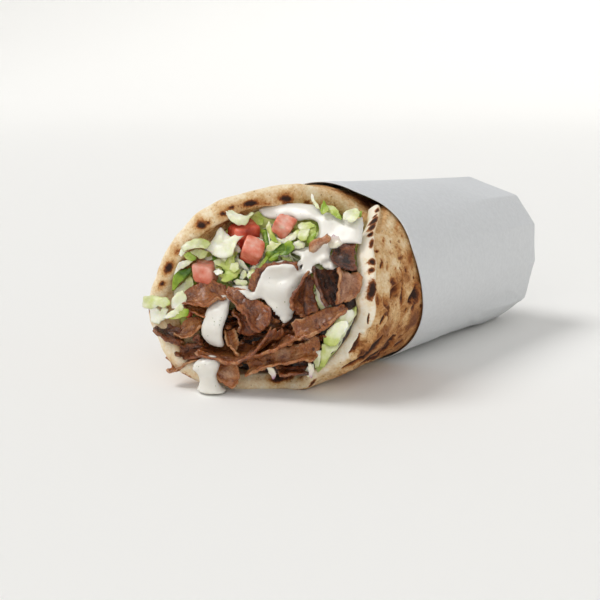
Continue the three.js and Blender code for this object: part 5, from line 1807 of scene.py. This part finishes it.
class WRAP_OT_tomato(bpy.types.Operator):
    """Builds the diced tomato"""

    bl_idname = "wrap.tomato"
    bl_label = "Diced tomato"

    def execute(self, context):
        build_tomatoes(tomato_material())
        return {"FINISHED"}


class WRAP_OT_sauce(bpy.types.Operator):
    """Builds the white sauce"""

    bl_idname = "wrap.sauce"
    bl_label = "White sauce"

    def execute(self, context):
        finish = sauce_material()
        under = [piece for piece in context.scene.objects
                 if piece.name.startswith(UNDER_SAUCE) and piece.name != THROUGH_SAUCE]
        build_pour(finish, under)
        build_drips(finish, settings(context).sauce_voxel)
        build_herbs(herb_material())
        return {"FINISHED"}


class WRAP_OT_stage(bpy.types.Operator):
    """Sets the floor, the lights and the camera"""

    bl_idname = "wrap.stage"
    bl_label = "Stage"

    def execute(self, context):
        chosen = settings(context)
        build_floor(chosen.floor_colour)
        build_lights(context.scene, chosen)
        build_camera(context.scene)
        return {"FINISHED"}


# Each light: the setting with its strength, the way it comes from, in mm, and its spread in degrees.
LIGHTS = {
    "key": ("key_strength", (-380, -260, 760), 26),
    "front": ("front_strength", (420, -700, 380), 60),
}
# The floor is flat to FLOOR_FLAT and then sweeps up to its rim, in metres.
FLOOR_FLAT, FLOOR_RIM, FLOOR_LIP = 2, 3.0, 1.15


def build_floor(colour):
    """A wide round plate, whose far rim sweeps up."""
    turns = np.linspace(0, 2 * np.pi, 97)[:-1]
    reaches = np.concatenate([[0.01, 0.5, 1, 1.5, FLOOR_FLAT], np.linspace(2.2, FLOOR_RIM, 9), [FLOOR_RIM]])
    turn, far = np.meshgrid(turns, reaches, indexing="ij")
    rise = 1.0 * (1 - np.sqrt(np.maximum(0, 1 - np.clip(far - FLOOR_FLAT, 0, 1) ** 2)))
    up = np.where(far > FLOOR_FLAT, rise, 0)
    up[:, -1] = FLOOR_LIP
    place = np.stack([far * np.cos(turn), far * np.sin(turn), up], -1)
    index = np.arange(turn.size).reshape(turn.shape)
    index = np.concatenate([index, index[:1]])
    mesh = bpy.data.meshes.new("floor")
    faces = grid_faces(index).tolist() + [index[:-1, 0].tolist()]
    mesh.from_pydata(place.reshape(-1, 3).tolist(), [], faces)
    mesh.shade_smooth()
    floor = bpy.data.objects.new("floor", mesh)
    bpy.context.scene.collection.objects.link(floor)
    finish, _, shader, _ = start_material("matt_table_top")
    feed(shader, {"Base Color": colour, "Roughness": 0.9})
    floor.data.materials.append(finish)


def build_lights(scene, chosen):
    world = bpy.data.worlds.new("studio")
    world.use_nodes = True
    sky = world.node_tree.nodes["Background"].inputs
    sky["Color"].default_value = (1, 1, 1, 1)
    sky["Strength"].default_value = chosen.sky_strength
    scene.world = world
    scene.view_settings.view_transform = "Standard"
    for name, (strength, place, spread) in LIGHTS.items():
        lamp = bpy.data.lights.new(name, "SUN")
        lamp.angle = math.radians(spread)
        lamp.energy = getattr(chosen, strength)
        lit = bpy.data.objects.new(name, lamp)
        lit.location = to_frame(place)
        lit.rotation_euler = vector_to_euler(to_frame(VIEW_TARGET) - to_frame(place))
        scene.collection.objects.link(lit)


def build_camera(scene):
    camera = bpy.data.cameras.new("camera")
    camera.sensor_width = 36
    camera.lens = camera.sensor_width * VIEW_FOCUS / VIEW_WIDE
    camera.clip_end = 20
    viewer = bpy.data.objects.new("camera", camera)
    eye, ahead, _, _ = view_axes()
    viewer.location = to_frame(eye)
    viewer.rotation_euler = vector_to_euler(ahead)
    scene.collection.objects.link(viewer)
    scene.camera = viewer


def vector_to_euler(direction):
    """The turn of a light or camera that looks along a direction."""
    return Vector(direction).to_track_quat("-Z", "Y").to_euler()


class WRAP_PT_panel(bpy.types.Panel):
    """Lists the wrap's pieces"""

    bl_idname = "WRAP_PT_panel"
    bl_label = "Gyro Wrap"
    bl_space_type = "VIEW_3D"
    bl_region_type = "UI"
    bl_category = "Gyro Wrap"

    def draw(self, context):
        for name in WrapSettings.__annotations__:
            self.layout.prop(context.scene.gyro_wrap, name)
        for operator in OPERATORS:
            self.layout.operator(operator.bl_idname)


OPERATORS = (
    WRAP_OT_bread, WRAP_OT_paper, WRAP_OT_meat, WRAP_OT_lettuce, WRAP_OT_tomato, WRAP_OT_sauce,
    WRAP_OT_stage,
)


def register():
    for made in (WrapSettings, *OPERATORS, WRAP_PT_panel):
        bpy.utils.register_class(made)
    bpy.types.Scene.gyro_wrap = PointerProperty(type=WrapSettings)


def unregister():
    del bpy.types.Scene.gyro_wrap
    for made in reversed((WrapSettings, *OPERATORS, WRAP_PT_panel)):
        bpy.utils.unregister_class(made)


def main():
    register()
    bpy.ops.wrap.bread()
    bpy.ops.wrap.paper()
    bpy.ops.wrap.meat()
    bpy.ops.wrap.lettuce()
    bpy.ops.wrap.tomato()
    bpy.ops.wrap.sauce()
    bpy.ops.wrap.stage()


if __name__ == "__main__":
    main()
